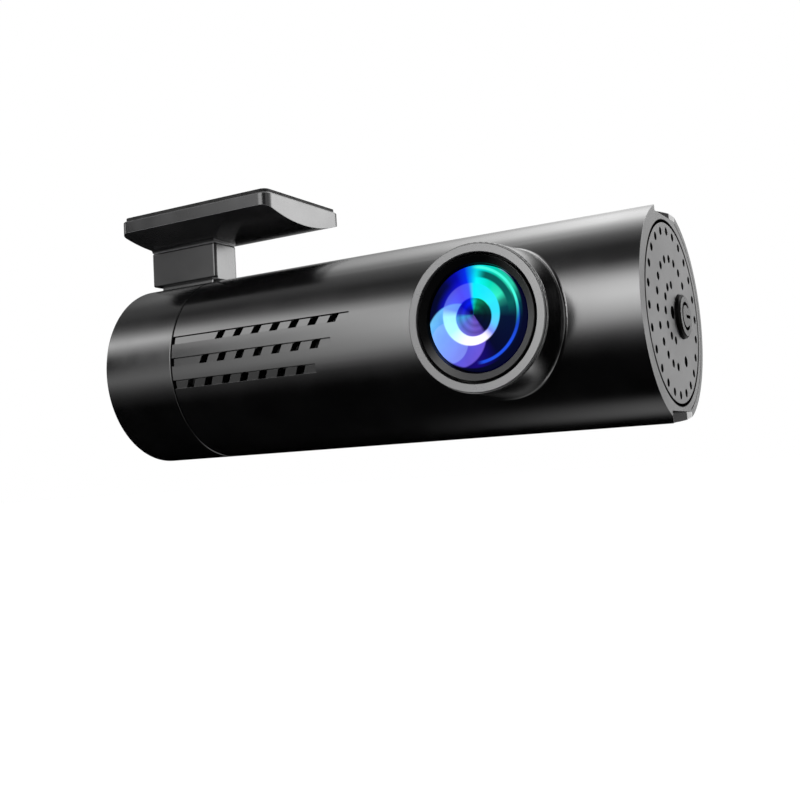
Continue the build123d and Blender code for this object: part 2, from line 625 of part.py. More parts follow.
# Each icon inlay follows the tube's outer surface.
with BuildPart() as camera_icon:
    with BuildSketch(icon_plane(LED_CAMERA_X)):
        add(camera_outline.sketch)
    extrude(amount=ICON_REACH, dir=(0, 1, 0))
    with BuildSketch(across(LED_CAMERA_X - ICON_REACH)):
        Circle(BODY_R)
    extrude(amount=2 * ICON_REACH, mode=Mode.INTERSECT)
camera_icon.part.label = "camera_icon"
export_step(camera_icon.part, "parts/camera_icon.step")

with BuildPart() as wireless_icon:
    with BuildSketch(icon_plane(LED_WIRELESS_X)):
        add(wireless_arcs.sketch)
    extrude(amount=ICON_REACH, dir=(0, 1, 0))
    with BuildSketch(across(LED_WIRELESS_X - ICON_REACH)):
        Circle(BODY_R)
    extrude(amount=2 * ICON_REACH, mode=Mode.INTERSECT)
wireless_icon.part.label = "wireless_icon"
export_step(wireless_icon.part, "parts/wireless_icon.step")

# ================================================================ end cap and what is behind it
POWER_FLANGE_R = 3.7
FLANGE_GAP = 0.05
POWER_BACK = 87.4  # inner end of the power button
SWITCH_SEAT = 84.2  # front face of the end board
END_BOARD_T = 1.0
END_BOARD_R = 12.0
END_BOARD_EDGE = -3.0  # straight edge of the end board
SWITCH_FLOOR = 0.2
POWER_SWITCH_SIZE = 6.0
POWER_SWITCH_H = 2.2
POWER_PLUNGER_R = 1.2
RESET_SWITCH_SIZE = 3.5
RESET_SWITCH_H = 1.4
RESET_PLUNGER_R = 0.7
RESET_PLUNGER_H = 0.6  # plunger above its switch
RESET_TRAVEL = 0.25
PLUNGER_GAP = 0.06
PLUNGER_SPARE = 0.1  # room left under a plunger at full travel
SPEAKER_R = 4.6
SPEAKER_START = 82.8
SPEAKER_FRONT = 86.9
SPEAKER_FLOOR = 0.6
SPEAKER_WALL = 0.5
MAGNET_R = 2.8
MAGNET_T = 2.2
CONE_FOOT = 85.9
CONE_T = 0.3
CONE_GAP = 0.05
CONE_DOME_R = 2.0
CONE_DOME_H = 0.6
CONE_DOME_TAPER = 35
COIL_R = 1.6
COIL_BORE_R = 1.3
COIL_H = 2.0
GASKET_W = 0.7
MIC_R = 1.2
MIC_H = 2.4
MIC_PORT_R = 0.5
MIC_PORT_DEPTH = 0.6
OUTER_RING = (11.3, 24)  # hole circle radius, holes to a full circle
MIDDLE_RING = (7.45, 20)
INNER_RING = (3.82, 12)
SYMBOL_R = 1.8
SYMBOL_W = 0.48
SYMBOL_GAP = 2.5
SYMBOL_BAR = 2.0
SYMBOL_BAR_Y = 1.1  # middle of the bar, from the button's centre
SYMBOL_DEPTH = 0.04


def ring_holes(ring, first, last):
    """Hole centres on one circle of the end cap, counted from the top towards the front."""
    radius, per_turn = ring
    step = 360 / per_turn
    return [
        (radius * cos(radians(90 + n * step)), radius * sin(radians(90 + n * step)))
        for n in range(first, last + 1)
    ]


SOUND_HOLES = (
    ring_holes(OUTER_RING, 0, 23) + ring_holes(MIDDLE_RING, -3, 10) + ring_holes(INNER_RING, 0, 6)
)

with BuildPart() as end_cap:
    with BuildSketch(across(CAP_SEAT)):
        Circle(CAP_R)
        with Locations(*SOUND_HOLES):
            Circle(HOLE_R, mode=Mode.SUBTRACT)
        with Locations(BUTTON_PLACE):
            Circle(BUTTON_BORE_R, mode=Mode.SUBTRACT)
        with Locations(RESET_PLACE):
            Circle(RESET_HOLE_R, mode=Mode.SUBTRACT)
        with Locations(MIC_PLACE):
            Circle(MIC_HOLE_R, mode=Mode.SUBTRACT)
    extrude(amount=CAP_T)
    # Posts that press into the housing's tabs.
    with BuildSketch(across(CAP_SEAT)):
        with Locations(*CAP_POST_PLACES):
            Circle(CAP_POST_R)
    extrude(amount=-TAB_T)
end_cap.part.label = "end_cap"
export_step(end_cap.part, "parts/end_cap.step")

MESH_MARGIN = 0.2  # the mesh ends this far inside the cap's edge
MESH_FLANGE_GAP = 0.15
MESH_RESET_GAP = 0.1

with BuildPart() as speaker_mesh:
    with BuildSketch(across(TAB_END)):
        Circle(CAP_R - MESH_MARGIN)
        with Locations(*CAP_POST_PLACES):
            Circle(CAP_POST_R + SCREW_GAP, mode=Mode.SUBTRACT)
        with Locations(BUTTON_PLACE):
            Circle(POWER_FLANGE_R + MESH_FLANGE_GAP, mode=Mode.SUBTRACT)
        with Locations(RESET_PLACE):
            Circle(RESET_HOLE_R + MESH_RESET_GAP, mode=Mode.SUBTRACT)
    extrude(amount=MESH_T)
speaker_mesh.part.label = "speaker_mesh"
export_step(speaker_mesh.part, "parts/speaker_mesh.step")

with BuildPart() as power_button:
    with BuildSketch(across(POWER_BACK)):
        with Locations(BUTTON_PLACE):
            Circle(POWER_FLANGE_R)
    extrude(amount=CAP_SEAT - POWER_BACK - FLANGE_GAP)
    with BuildSketch(across(POWER_BACK)):
        with Locations(BUTTON_PLACE):
            Circle(BUTTON_R)
    extrude(amount=BODY_END + BUTTON_PROUD - POWER_BACK)
    chamfer(power_button.faces().sort_by(Axis.X)[-1].edges(), length=BUTTON_EDGE)
    # Engraved power symbol: a broken ring with a bar in the break, which faces the back.
    with BuildSketch(across(BODY_END + BUTTON_PROUD)):
        with Locations(BUTTON_PLACE):
            Circle(SYMBOL_R + SYMBOL_W / 2)
            Circle(SYMBOL_R - SYMBOL_W / 2, mode=Mode.SUBTRACT)
        with Locations((BUTTON_PLACE[0] + SYMBOL_R, BUTTON_PLACE[1])):
            Rectangle(SYMBOL_R, SYMBOL_GAP, mode=Mode.SUBTRACT)
        with Locations((BUTTON_PLACE[0] + SYMBOL_BAR_Y, BUTTON_PLACE[1])):
            Rectangle(SYMBOL_BAR, SYMBOL_W)
    extrude(amount=-SYMBOL_DEPTH, mode=Mode.SUBTRACT)
power_button.part.label = "power_button"
export_step(power_button.part, "parts/power_button.step")

with BuildPart() as end_board:
    with BuildSketch(across(SWITCH_SEAT)):
        Circle(END_BOARD_R)
        with Locations((END_BOARD_EDGE - END_BOARD_R, 0)):
            Rectangle(2 * END_BOARD_R, 2 * END_BOARD_R, mode=Mode.SUBTRACT)
    extrude(amount=-END_BOARD_T)
end_board.part.label = "end_board"
export_step(end_board.part, "parts/end_board.step")

with BuildPart() as power_switch:
    with BuildSketch(across(SWITCH_SEAT)):
        with Locations(BUTTON_PLACE):
            Rectangle(POWER_SWITCH_SIZE, POWER_SWITCH_SIZE)
    extrude(amount=POWER_SWITCH_H)
    with BuildSketch(across(SWITCH_SEAT + SWITCH_FLOOR)):
        with Locations(BUTTON_PLACE):
            Circle(POWER_PLUNGER_R + PLUNGER_GAP)
    extrude(amount=POWER_SWITCH_H, mode=Mode.SUBTRACT)
power_switch.part.label = "power_switch"
export_step(power_switch.part, "parts/power_switch.step")

with BuildPart() as power_plunger:
    with BuildSketch(across(POWER_BACK)):
        with Locations(BUTTON_PLACE):
            Circle(POWER_PLUNGER_R)
    extrude(amount=SWITCH_SEAT + SWITCH_FLOOR + BUTTON_TRAVEL + PLUNGER_SPARE - POWER_BACK)
power_plunger.part.label = "power_plunger"
export_step(power_plunger.part, "parts/power_plunger.step")

with BuildPart() as reset_switch:
    with BuildSketch(across(SWITCH_SEAT)):
        with Locations(RESET_PLACE):
            Rectangle(RESET_SWITCH_SIZE, RESET_SWITCH_SIZE)
    extrude(amount=RESET_SWITCH_H)
    with BuildSketch(across(SWITCH_SEAT + SWITCH_FLOOR)):
        with Locations(RESET_PLACE):
            Circle(RESET_PLUNGER_R + PLUNGER_GAP)
    extrude(amount=RESET_SWITCH_H, mode=Mode.SUBTRACT)
reset_switch.part.label = "reset_switch"
export_step(reset_switch.part, "parts/reset_switch.step")

with BuildPart() as reset_plunger:
    with BuildSketch(across(SWITCH_SEAT + SWITCH_FLOOR + RESET_TRAVEL + PLUNGER_SPARE)):
        with Locations(RESET_PLACE):
            Circle(RESET_PLUNGER_R)
    extrude(amount=RESET_SWITCH_H + RESET_PLUNGER_H - SWITCH_FLOOR - RESET_TRAVEL - PLUNGER_SPARE)
reset_plunger.part.label = "reset_plunger"
export_step(reset_plunger.part, "parts/reset_plunger.step")

with BuildPart() as microphone:
    with BuildSketch(across(SWITCH_SEAT)):
        with Locations(MIC_PLACE):
            Circle(MIC_R)
    extrude(amount=MIC_H)
    with BuildSketch(across(SWITCH_SEAT + MIC_H)):
        with Locations(MIC_PLACE):
            Circle(MIC_PORT_R)
    extrude(amount=-MIC_PORT_DEPTH, mode=Mode.SUBTRACT)
microphone.part.label = "microphone"
export_step(microphone.part, "parts/microphone.step")

with BuildPart() as speaker_frame:
    with BuildSketch(across(SPEAKER_START)):
        with Locations(SPEAKER_PLACE):
            Circle(SPEAKER_R)
    extrude(amount=SPEAKER_FRONT - SPEAKER_START)
    with BuildSketch(across(SPEAKER_START + SPEAKER_FLOOR)):
        with Locations(SPEAKER_PLACE):
            Circle(SPEAKER_R - SPEAKER_WALL)
    extrude(amount=SPEAKER_FRONT, mode=Mode.SUBTRACT)
speaker_frame.part.label = "speaker_frame"
export_step(speaker_frame.part, "parts/speaker_frame.step")

with BuildPart() as speaker_magnet:
    with BuildSketch(across(SPEAKER_START)):
        with Locations(SPEAKER_PLACE):
            Circle(MAGNET_R)
    extrude(amount=-MAGNET_T)
speaker_magnet.part.label = "speaker_magnet"
export_step(speaker_magnet.part, "parts/speaker_magnet.step")

with BuildPart() as speaker_cone:
    with BuildSketch(across(CONE_FOOT)):
        with Locations(SPEAKER_PLACE):
            Circle(SPEAKER_R - SPEAKER_WALL - CONE_GAP)
    extrude(amount=CONE_T)
    with BuildSketch(across(CONE_FOOT + CONE_T)):
        with Locations(SPEAKER_PLACE):
            Circle(CONE_DOME_R)
    extrude(amount=CONE_DOME_H, taper=CONE_DOME_TAPER)
    with BuildSketch(across(CONE_FOOT)):
        with Locations(SPEAKER_PLACE):
            Circle(COIL_R)
            Circle(COIL_BORE_R, mode=Mode.SUBTRACT)
    extrude(amount=-COIL_H)
speaker_cone.part.label = "speaker_cone"
export_step(speaker_cone.part, "parts/speaker_cone.step")

with BuildPart() as speaker_gasket:
    with BuildSketch(across(SPEAKER_FRONT)):
        with Locations(SPEAKER_PLACE):
            Circle(SPEAKER_R)
            Circle(SPEAKER_R - GASKET_W, mode=Mode.SUBTRACT)
    extrude(amount=TAB_END - SPEAKER_FRONT)
speaker_gasket.part.label = "speaker_gasket"
export_step(speaker_gasket.part, "parts/speaker_gasket.step")

# ================================================================ lens
HOOD_R = 8.25
HOOD_INNER_R = 7.25
HOOD_TOP = 20.3
HOOD_FALL = 0.35  # the hood's face falls this far towards the glass
HEAD_R = 8.0
HEAD_START = 12.0
HEAD_END = 18.9
THREAD_R = 6.0
SCREWED_IN = 5.0  # inner end of the lens barrel
FRONT_SEAT_R = 7.25
FRONT_SEAT = 15.6
MIDDLE_SEAT_R = 5.0
MIDDLE_SEAT = 11.0
REAR_SEAT_R = 4.0
GLASS_GAP = 0.05
SENSOR_BOARD_BACK = 0.6
SENSOR_BOARD_FRONT = 1.6
SENSOR_TOP = 2.8
FILTER_START = 3.0
FILTER_END = 3.4
HOLDER_BASE_TOP = 4.4
HOLDER_TOP = 10.0
HOLDER_SCREW_PITCH = 16.0
HOLDER_SCREW_PLACES = GridLocations(HOLDER_SCREW_PITCH, 0, 2, 1)
HOLDER_BASE = (18.4, 15.0)
HOLDER_CORNER = 1.5
HOLDER_WALL = 1.5
HOLDER_POCKET = 11.0  # square pocket over the sensor, with the filter at its end
HOLDER_WINDOW_R = 4.5
FILTER_SIZE = 10.6
SENSOR_BODY = (9.0, 7.6)
SENSOR_WINDOW = (6.4, 4.2)
SENSOR_WINDOW_DEPTH = 0.3
SENSOR_BOARD = (19.0, 17.0)
SENSOR_BOARD_CORNER = 1.0
SENSOR_SCREW_R = 0.6
SENSOR_SCREW_GAP = 0.02
SENSOR_SCREW_LENGTH = 3.4
SENSOR_SCREW_HEAD_R = 1.1
SENSOR_SCREW_HEAD_T = 0.6
BEZEL_SPIGOT_R = LENS_BORE_R - 0.04  # the bezel's tail slides into the barrel's bore
BEZEL_TAIL = HEAD_END + 0.05
BEZEL_EDGE = 0.1  # chamfer of the outer edge
BEZEL_INNER_EDGE = 0.06
HOOD_FOOT_R = FRONT_SEAT_R - 0.25  # the hood's foot laps over the glass and holds it in
HOOD_LIP = 0.1
BARREL_LIP = 0.5  # inward lip behind the rear element
STOP_APERTURE_R = 2.4
STOP_T = 0.55
SEAL_START = HEAD_START + 4
SEAL_T = 1.4
SEAL_GAP = 0.03

with BuildPart() as lens_bezel:
    with BuildSketch(LENS_SECTION):
        with BuildLine():
            Polyline(
                (BEZEL_INNER_R, BEZEL_TAIL),
                (BEZEL_SPIGOT_R, BEZEL_TAIL),
                (BEZEL_SPIGOT_R, BARREL_OUT),
                (BEZEL_R, BARREL_OUT),
                (BEZEL_R, BEZEL_OUT - BEZEL_EDGE),
                (BEZEL_R - BEZEL_EDGE, BEZEL_OUT),
                (BEZEL_INNER_R + BEZEL_INNER_EDGE, BEZEL_OUT),
                (BEZEL_INNER_R, BEZEL_OUT - BEZEL_INNER_EDGE),
                close=True,
            )
        make_face()
    revolve(axis=LENS_AXIS)
lens_bezel.part.label = "lens_bezel"
export_step(lens_bezel.part, "parts/lens_bezel.step")

with BuildPart() as lens_hood:
    with BuildSketch(LENS_SECTION):
        with BuildLine():
            Polyline(
                (HOOD_FOOT_R, HEAD_END),
                (HOOD_R, HEAD_END),
                (HOOD_R, HOOD_TOP),
                (HOOD_R - HOOD_LIP, HOOD_TOP + HOOD_LIP),
                (HOOD_INNER_R, HOOD_TOP - HOOD_FALL),
                close=True,
            )
        make_face()
    revolve(axis=LENS_AXIS)
lens_hood.part.label = "lens_hood"
export_step(lens_hood.part, "parts/lens_hood.step")

with BuildPart() as lens_barrel:
    with BuildSketch(LENS_SECTION):
        with BuildLine():
            Polyline(
                (REAR_SEAT_R - BARREL_LIP, SCREWED_IN),
                (THREAD_R, SCREWED_IN),
                (THREAD_R, HEAD_START),
                (HEAD_R, HEAD_START),
                (HEAD_R, HEAD_END),
                (FRONT_SEAT_R, HEAD_END),
                (FRONT_SEAT_R, FRONT_SEAT),
                (MIDDLE_SEAT_R, FRONT_SEAT),
                (MIDDLE_SEAT_R, MIDDLE_SEAT),
                (REAR_SEAT_R, MIDDLE_SEAT),
                (REAR_SEAT_R, SCREWED_IN + BARREL_LIP),
                (REAR_SEAT_R - BARREL_LIP, SCREWED_IN + BARREL_LIP),
                close=True,
            )
        make_face()
    revolve(axis=LENS_AXIS)
lens_barrel.part.label = "lens_barrel"
export_step(lens_barrel.part, "parts/lens_barrel.step")

FRONT_GLASS_R = FRONT_SEAT_R - GLASS_GAP
FRONT_GLASS_BACK = FRONT_SEAT + 0.02
FRONT_GLASS_EDGE = HEAD_END - 0.02
FRONT_DOME_R = 6.95
FRONT_COLLAR = 0.72  # straight part between the glass's flange and its dome
FRONT_DOME = 0.8
FRONT_DOME_EDGE = FRONT_GLASS_EDGE + FRONT_COLLAR
FRONT_HOLLOW_R = 4.6
FRONT_HOLLOW = 1.6
MIDDLE_GLASS_R = MIDDLE_SEAT_R - GLASS_GAP
MIDDLE_GLASS_BACK = MIDDLE_SEAT + 0.6
MIDDLE_GLASS_EDGE = MIDDLE_SEAT + 2.6
MIDDLE_DOME = 1.4
REAR_GLASS_R = REAR_SEAT_R - GLASS_GAP
REAR_GLASS_BACK = SCREWED_IN + 0.8
REAR_GLASS_EDGE = SCREWED_IN + 3.0
REAR_DOME = 1.3
with BuildPart() as front_element:
    with BuildSketch(LENS_SECTION):
        with BuildLine():
            dome_arc(FRONT_HOLLOW_R, FRONT_GLASS_BACK, FRONT_HOLLOW)
            Polyline(
                (FRONT_HOLLOW_R, FRONT_GLASS_BACK),
                (FRONT_GLASS_R, FRONT_GLASS_BACK),
                (FRONT_GLASS_R, FRONT_GLASS_EDGE),
                (FRONT_DOME_R, FRONT_GLASS_EDGE),
                (FRONT_DOME_R, FRONT_DOME_EDGE),
            )
            dome_arc(FRONT_DOME_R, FRONT_DOME_EDGE, FRONT_DOME)
            Line((0, FRONT_DOME_EDGE + FRONT_DOME), (0, FRONT_GLASS_BACK + FRONT_HOLLOW))
        make_face()
    revolve(axis=LENS_AXIS)
front_element.part.label = "front_element"
export_step(front_element.part, "parts/front_element.step")

with BuildPart() as middle_element:
    with BuildSketch(LENS_SECTION):
        with BuildLine():
            Polyline(
                (0, MIDDLE_GLASS_EDGE + MIDDLE_DOME),
                (0, MIDDLE_GLASS_BACK),
                (MIDDLE_GLASS_R, MIDDLE_GLASS_BACK),
                (MIDDLE_GLASS_R, MIDDLE_GLASS_EDGE),
            )
            dome_arc(MIDDLE_GLASS_R, MIDDLE_GLASS_EDGE, MIDDLE_DOME)
        make_face()
    revolve(axis=LENS_AXIS)
middle_element.part.label = "middle_element"
export_step(middle_element.part, "parts/middle_element.step")

with BuildPart() as aperture_stop:
    with BuildSketch(facing(MIDDLE_SEAT)):
        Circle(MIDDLE_SEAT_R - GLASS_GAP)
        Circle(STOP_APERTURE_R, mode=Mode.SUBTRACT)
    extrude(amount=STOP_T)
aperture_stop.part.label = "aperture_stop"
export_step(aperture_stop.part, "parts/aperture_stop.step")

with BuildPart() as rear_element:
    with BuildSketch(LENS_SECTION):
        with BuildLine():
            Polyline(
                (0, REAR_GLASS_EDGE + REAR_DOME),
                (0, REAR_GLASS_BACK),
                (REAR_GLASS_R, REAR_GLASS_BACK),
                (REAR_GLASS_R, REAR_GLASS_EDGE),
            )
            dome_arc(REAR_GLASS_R, REAR_GLASS_EDGE, REAR_DOME)
        make_face()
    revolve(axis=LENS_AXIS)
rear_element.part.label = "rear_element"
export_step(rear_element.part, "parts/rear_element.step")

with BuildPart() as lens_seal:
    with BuildSketch(facing(SEAL_START)):
        Circle(LENS_BORE_R - SEAL_GAP)
        Circle(HEAD_R + SEAL_GAP, mode=Mode.SUBTRACT)
    extrude(amount=SEAL_T)
lens_seal.part.label = "lens_seal"
export_step(lens_seal.part, "parts/lens_seal.step")

with BuildPart() as lens_holder:
    with BuildSketch(facing(SENSOR_BOARD_FRONT)):
        RectangleRounded(*HOLDER_BASE, HOLDER_CORNER)
    extrude(amount=HOLDER_BASE_TOP - SENSOR_BOARD_FRONT)
    with BuildSketch(facing(HOLDER_BASE_TOP)):
        Circle(THREAD_R + HOLDER_WALL)
    extrude(amount=HOLDER_TOP - HOLDER_BASE_TOP)
    with BuildSketch(facing(SENSOR_BOARD_FRONT)):
        Rectangle(HOLDER_POCKET, HOLDER_POCKET)
    extrude(amount=FILTER_END - SENSOR_BOARD_FRONT, mode=Mode.SUBTRACT)
    with BuildSketch(facing(FILTER_END)):
        Circle(HOLDER_WINDOW_R)
    extrude(amount=HOLDER_BASE_TOP - FILTER_END, mode=Mode.SUBTRACT)
    with BuildSketch(facing(HOLDER_BASE_TOP)):
        Circle(THREAD_R + GLASS_GAP)
    extrude(amount=HOLDER_TOP - HOLDER_BASE_TOP, mode=Mode.SUBTRACT)
    with BuildSketch(facing(SENSOR_BOARD_FRONT)):
        with HOLDER_SCREW_PLACES:
            Circle(SENSOR_SCREW_R + SENSOR_SCREW_GAP)
    extrude(amount=HOLDER_TOP, mode=Mode.SUBTRACT)
lens_holder.part.label = "lens_holder"
export_step(lens_holder.part, "parts/lens_holder.step")

with BuildPart() as ir_filter:
    with BuildSketch(facing(FILTER_START)):
        Rectangle(FILTER_SIZE, FILTER_SIZE)
    extrude(amount=FILTER_END - FILTER_START)
ir_filter.part.label = "ir_filter"
export_step(ir_filter.part, "parts/ir_filter.step")

with BuildPart() as image_sensor:
    with BuildSketch(facing(SENSOR_BOARD_FRONT)):
        Rectangle(*SENSOR_BODY)
    extrude(amount=SENSOR_TOP - SENSOR_BOARD_FRONT)
    with BuildSketch(facing(SENSOR_TOP)):
        Rectangle(*SENSOR_WINDOW)
    extrude(amount=-SENSOR_WINDOW_DEPTH, mode=Mode.SUBTRACT)
image_sensor.part.label = "image_sensor"
export_step(image_sensor.part, "parts/image_sensor.step")

with BuildPart() as sensor_board:
    with BuildSketch(facing(SENSOR_BOARD_BACK)):
        RectangleRounded(*SENSOR_BOARD, SENSOR_BOARD_CORNER)
        with HOLDER_SCREW_PLACES:
            Circle(SENSOR_SCREW_R + SENSOR_SCREW_GAP, mode=Mode.SUBTRACT)
    extrude(amount=SENSOR_BOARD_FRONT - SENSOR_BOARD_BACK)
sensor_board.part.label = "sensor_board"
export_step(sensor_board.part, "parts/sensor_board.step")

with BuildPart() as sensor_screws:
    with BuildSketch(facing(SENSOR_BOARD_BACK)):
        with HOLDER_SCREW_PLACES:
            Circle(SENSOR_SCREW_R)
    extrude(amount=SENSOR_SCREW_LENGTH)
    with BuildSketch(facing(SENSOR_BOARD_BACK)):
        with HOLDER_SCREW_PLACES:
            Circle(SENSOR_SCREW_HEAD_R)
    extrude(amount=-SENSOR_SCREW_HEAD_T)
sensor_screws.part.label = "sensor_screws"
export_step(sensor_screws.part, "parts/sensor_screws.step")

# ================================================================ frame and main board
FRAME_R = INNER_R - 0.12
FRAME_INNER_R = 12.0
MOUNT_HOOP_T = 2.4  # end hoops of the frame
CAP_HOOP_T = 3.0
MOUNT_BAR_END = 19.6
CAP_BAR_START = 76.8
BAR_LAP = 0.3  # the bars reach this far into the hoops
RAIL_LIP = 0.8  # the rail's groove has a lip this thick on each side of the board
END_POST_R = 1.3
BOARD_SCREW_HEAD_R = 1.3
BOARD_SCREW_HEAD_T = 0.7
BOARD_SCREW_LENGTH = 2.6
FRAME_START = CAVITY_START + 0.2
FRAME_END = 82.6
BAR_BACK = 4.6  # back face of the cross bars behind the board
MAIN_BOARD_START = 17.4
MAIN_BOARD_END = 79.0
MAIN_BOARD_TOP = 11.9
MAIN_BOARD_BOTTOM = -11.6
BOARD_T = BOARD_BACK - BOARD_FRONT
BOARD_SCREW_X = (18.4, 78.0)
BOARD_SCREW_Z = 8.0
BOARD_SCREW_R = 0.7
BOARD_SCREW_PLACES = [(x, z) for x in BOARD_SCREW_X for z in (-BOARD_SCREW_Z, BOARD_SCREW_Z)]
BOARD_MID_X = (MAIN_BOARD_START + MAIN_BOARD_END) / 2
BOARD_MID_Z = (MAIN_BOARD_TOP + MAIN_BOARD_BOTTOM) / 2
RAIL_BOTTOM = -12.9
RAIL_TOP = -10.9
END_BOARD_POSTS = ((9.0, 7.5), (9.0, -7.5))

with BuildPart() as inner_frame:
    with BuildSketch(across(FRAME_START)):
        Circle(FRAME_R)
        Circle(FRAME_INNER_R, mode=Mode.SUBTRACT)
    extrude(amount=MOUNT_HOOP_T)
    with BuildSketch(across(FRAME_END)):
        Circle(FRAME_R)
        Circle(FRAME_INNER_R, mode=Mode.SUBTRACT)
    extrude(amount=-CAP_HOOP_T)
    # Cross bars behind the two ends of the board.
    with BuildSketch(front_view(BAR_BACK)):
        with Locations(((FRAME_START + MOUNT_BAR_END) / 2, 0)):
            Rectangle(MOUNT_BAR_END - FRAME_START, 2 * (FRAME_INNER_R + BAR_LAP))
        with Locations(((FRAME_END + CAP_BAR_START) / 2, 0)):
            Rectangle(FRAME_END - CAP_BAR_START, 2 * (FRAME_INNER_R + BAR_LAP))
    extrude(amount=BAR_BACK - BOARD_BACK)
    # Rail under the board, with a groove for its edge.
    with BuildSketch(front_view(BOARD_BACK + RAIL_LIP)):
        with Locations(((FRAME_START + FRAME_END) / 2, (RAIL_BOTTOM + RAIL_TOP) / 2)):
            Rectangle(FRAME_END - FRAME_START, RAIL_TOP - RAIL_BOTTOM)
    extrude(amount=BOARD_T + 2 * RAIL_LIP)
    with BuildSketch(front_view(BOARD_BACK)):
        with Locations((BOARD_MID_X, BOARD_MID_Z)):
            Rectangle(MAIN_BOARD_END - MAIN_BOARD_START, MAIN_BOARD_TOP - MAIN_BOARD_BOTTOM)
    extrude(amount=BOARD_T, mode=Mode.SUBTRACT)
    # Posts for the end board.
    with BuildSketch(across(FRAME_END - CAP_HOOP_T)):
        with Locations(*END_BOARD_POSTS):
            Circle(END_POST_R)
    extrude(amount=SWITCH_SEAT - END_BOARD_T - FRAME_END + CAP_HOOP_T)
    with BuildSketch(front_view(BAR_BACK)):
        with Locations(*BOARD_SCREW_PLACES):
            Circle(BOARD_SCREW_R + SCREW_GAP)
    extrude(amount=BAR_BACK - BOARD_BACK, mode=Mode.SUBTRACT)
inner_frame.part.label = "inner_frame"
export_step(inner_frame.part, "parts/inner_frame.step")

with BuildPart() as main_board:
    with BuildSketch(front_view(BOARD_BACK)):
        with Locations((BOARD_MID_X, BOARD_MID_Z)):
            Rectangle(MAIN_BOARD_END - MAIN_BOARD_START, MAIN_BOARD_TOP - MAIN_BOARD_BOTTOM)
        with Locations(*BOARD_SCREW_PLACES):
            Circle(BOARD_SCREW_R + SCREW_GAP, mode=Mode.SUBTRACT)
    extrude(amount=BOARD_T)
main_board.part.label = "main_board"
export_step(main_board.part, "parts/main_board.step")

with BuildPart() as board_screws:
    with BuildSketch(front_view(BOARD_FRONT)):
        with Locations(*BOARD_SCREW_PLACES):
            Circle(BOARD_SCREW_HEAD_R)
    extrude(amount=BOARD_SCREW_HEAD_T)
    with BuildSketch(front_view(BOARD_FRONT)):
        with Locations(*BOARD_SCREW_PLACES):
            Circle(BOARD_SCREW_R)
    extrude(amount=-BOARD_SCREW_LENGTH)
board_screws.part.label = "board_screws"
export_step(board_screws.part, "parts/board_screws.step")

# ---------------------------------------------------------------- on the main board
SOC_X = 33.0
SOC_Z = -3.0
SOC_SIZE = 14.0
SOC_T = 1.2
PAD_T = 0.5
SINK_START = 21.0
SINK_END = 46.0
SINK_BASE_T = 1.2
FIN_FRONT = -8.6
FIN_T = 0.8
FIN_COUNT = 6
SINK_HALF_Z = 6.5
CAP_CELL_R = 4.0
CAP_CELL_LENGTH = 22.0
CAP_CELL_X = 33.0
CAP_CELL_Y = 6.9
CAP_CELL_Z = 4.5
CAP_CELL_EDGE = 0.4
CHIP_PLACES = ((52.5, -6.0), (70.0, 0))
CHIP_SIZES = ((8.0, 6.0), (6.0, 5.0))
CHIP_T = 1.0
INDUCTOR_PLACES = ((24.0, 8.6), (30.0, 8.6))
INDUCTOR_SIZE = 4.0
INDUCTOR_CORNER = 0.8
INDUCTOR_T = 2.2
WIFI_PLACE = (52.5, -4.0)
WIFI_SIZE = (12.0, 10.0)
WIFI_CORNER = 0.5
WIFI_T = 2.0
SOCKET_TOP = 12.0
USB_SHELL = (8.94, 3.2)
USB_SHELL_CORNER = 1.5
USB_SHELL_LENGTH = 7.4
USB_OPENING = (8.34, 2.6)
USB_OPENING_CORNER = 1.25
USB_OPENING_DEPTH = 6.2
USB_TONGUE = (6.7, 0.7)
USB_TONGUE_CORNER = 0.3

with BuildPart() as processor:
    with BuildSketch(front_view(BOARD_FRONT)):
        with Locations((SOC_X, SOC_Z)):
            Rectangle(SOC_SIZE, SOC_SIZE)
    extrude(amount=SOC_T)
processor.part.label = "processor"
export_step(processor.part, "parts/processor.step")

with BuildPart() as thermal_pad:
    with BuildSketch(front_view(BOARD_FRONT - SOC_T)):
        with Locations((SOC_X, SOC_Z)):
            Rectangle(SOC_SIZE - 1, SOC_SIZE - 1)
    extrude(amount=PAD_T)
thermal_pad.part.label = "thermal_pad"
export_step(thermal_pad.part, "parts/thermal_pad.step")

SINK_BACK = BOARD_FRONT - SOC_T - PAD_T
with BuildPart() as heat_sink:
    with BuildSketch(front_view(SINK_BACK)):
        with Locations(((SINK_START + SINK_END) / 2, SOC_Z)):
            Rectangle(SINK_END - SINK_START, 2 * SINK_HALF_Z)
    extrude(amount=SINK_BASE_T)
    with BuildSketch(front_view(SINK_BACK - SINK_BASE_T)):
        with Locations(((SINK_START + SINK_END) / 2, SOC_Z)):
            with GridLocations(0, (2 * SINK_HALF_Z - FIN_T) / (FIN_COUNT - 1), 1, FIN_COUNT):
                Rectangle(SINK_END - SINK_START, FIN_T)
    extrude(amount=SINK_BACK - SINK_BASE_T - FIN_FRONT)
heat_sink.part.label = "heat_sink"
export_step(heat_sink.part, "parts/heat_sink.step")

with BuildPart() as memory_chips:
    with BuildSketch(front_view(BOARD_FRONT)):
        for chip_place, chip_size in zip(CHIP_PLACES, CHIP_SIZES):
            with Locations(chip_place):
                Rectangle(*chip_size)
    extrude(amount=CHIP_T)
memory_chips.part.label = "memory_chips"
export_step(memory_chips.part, "parts/memory_chips.step")

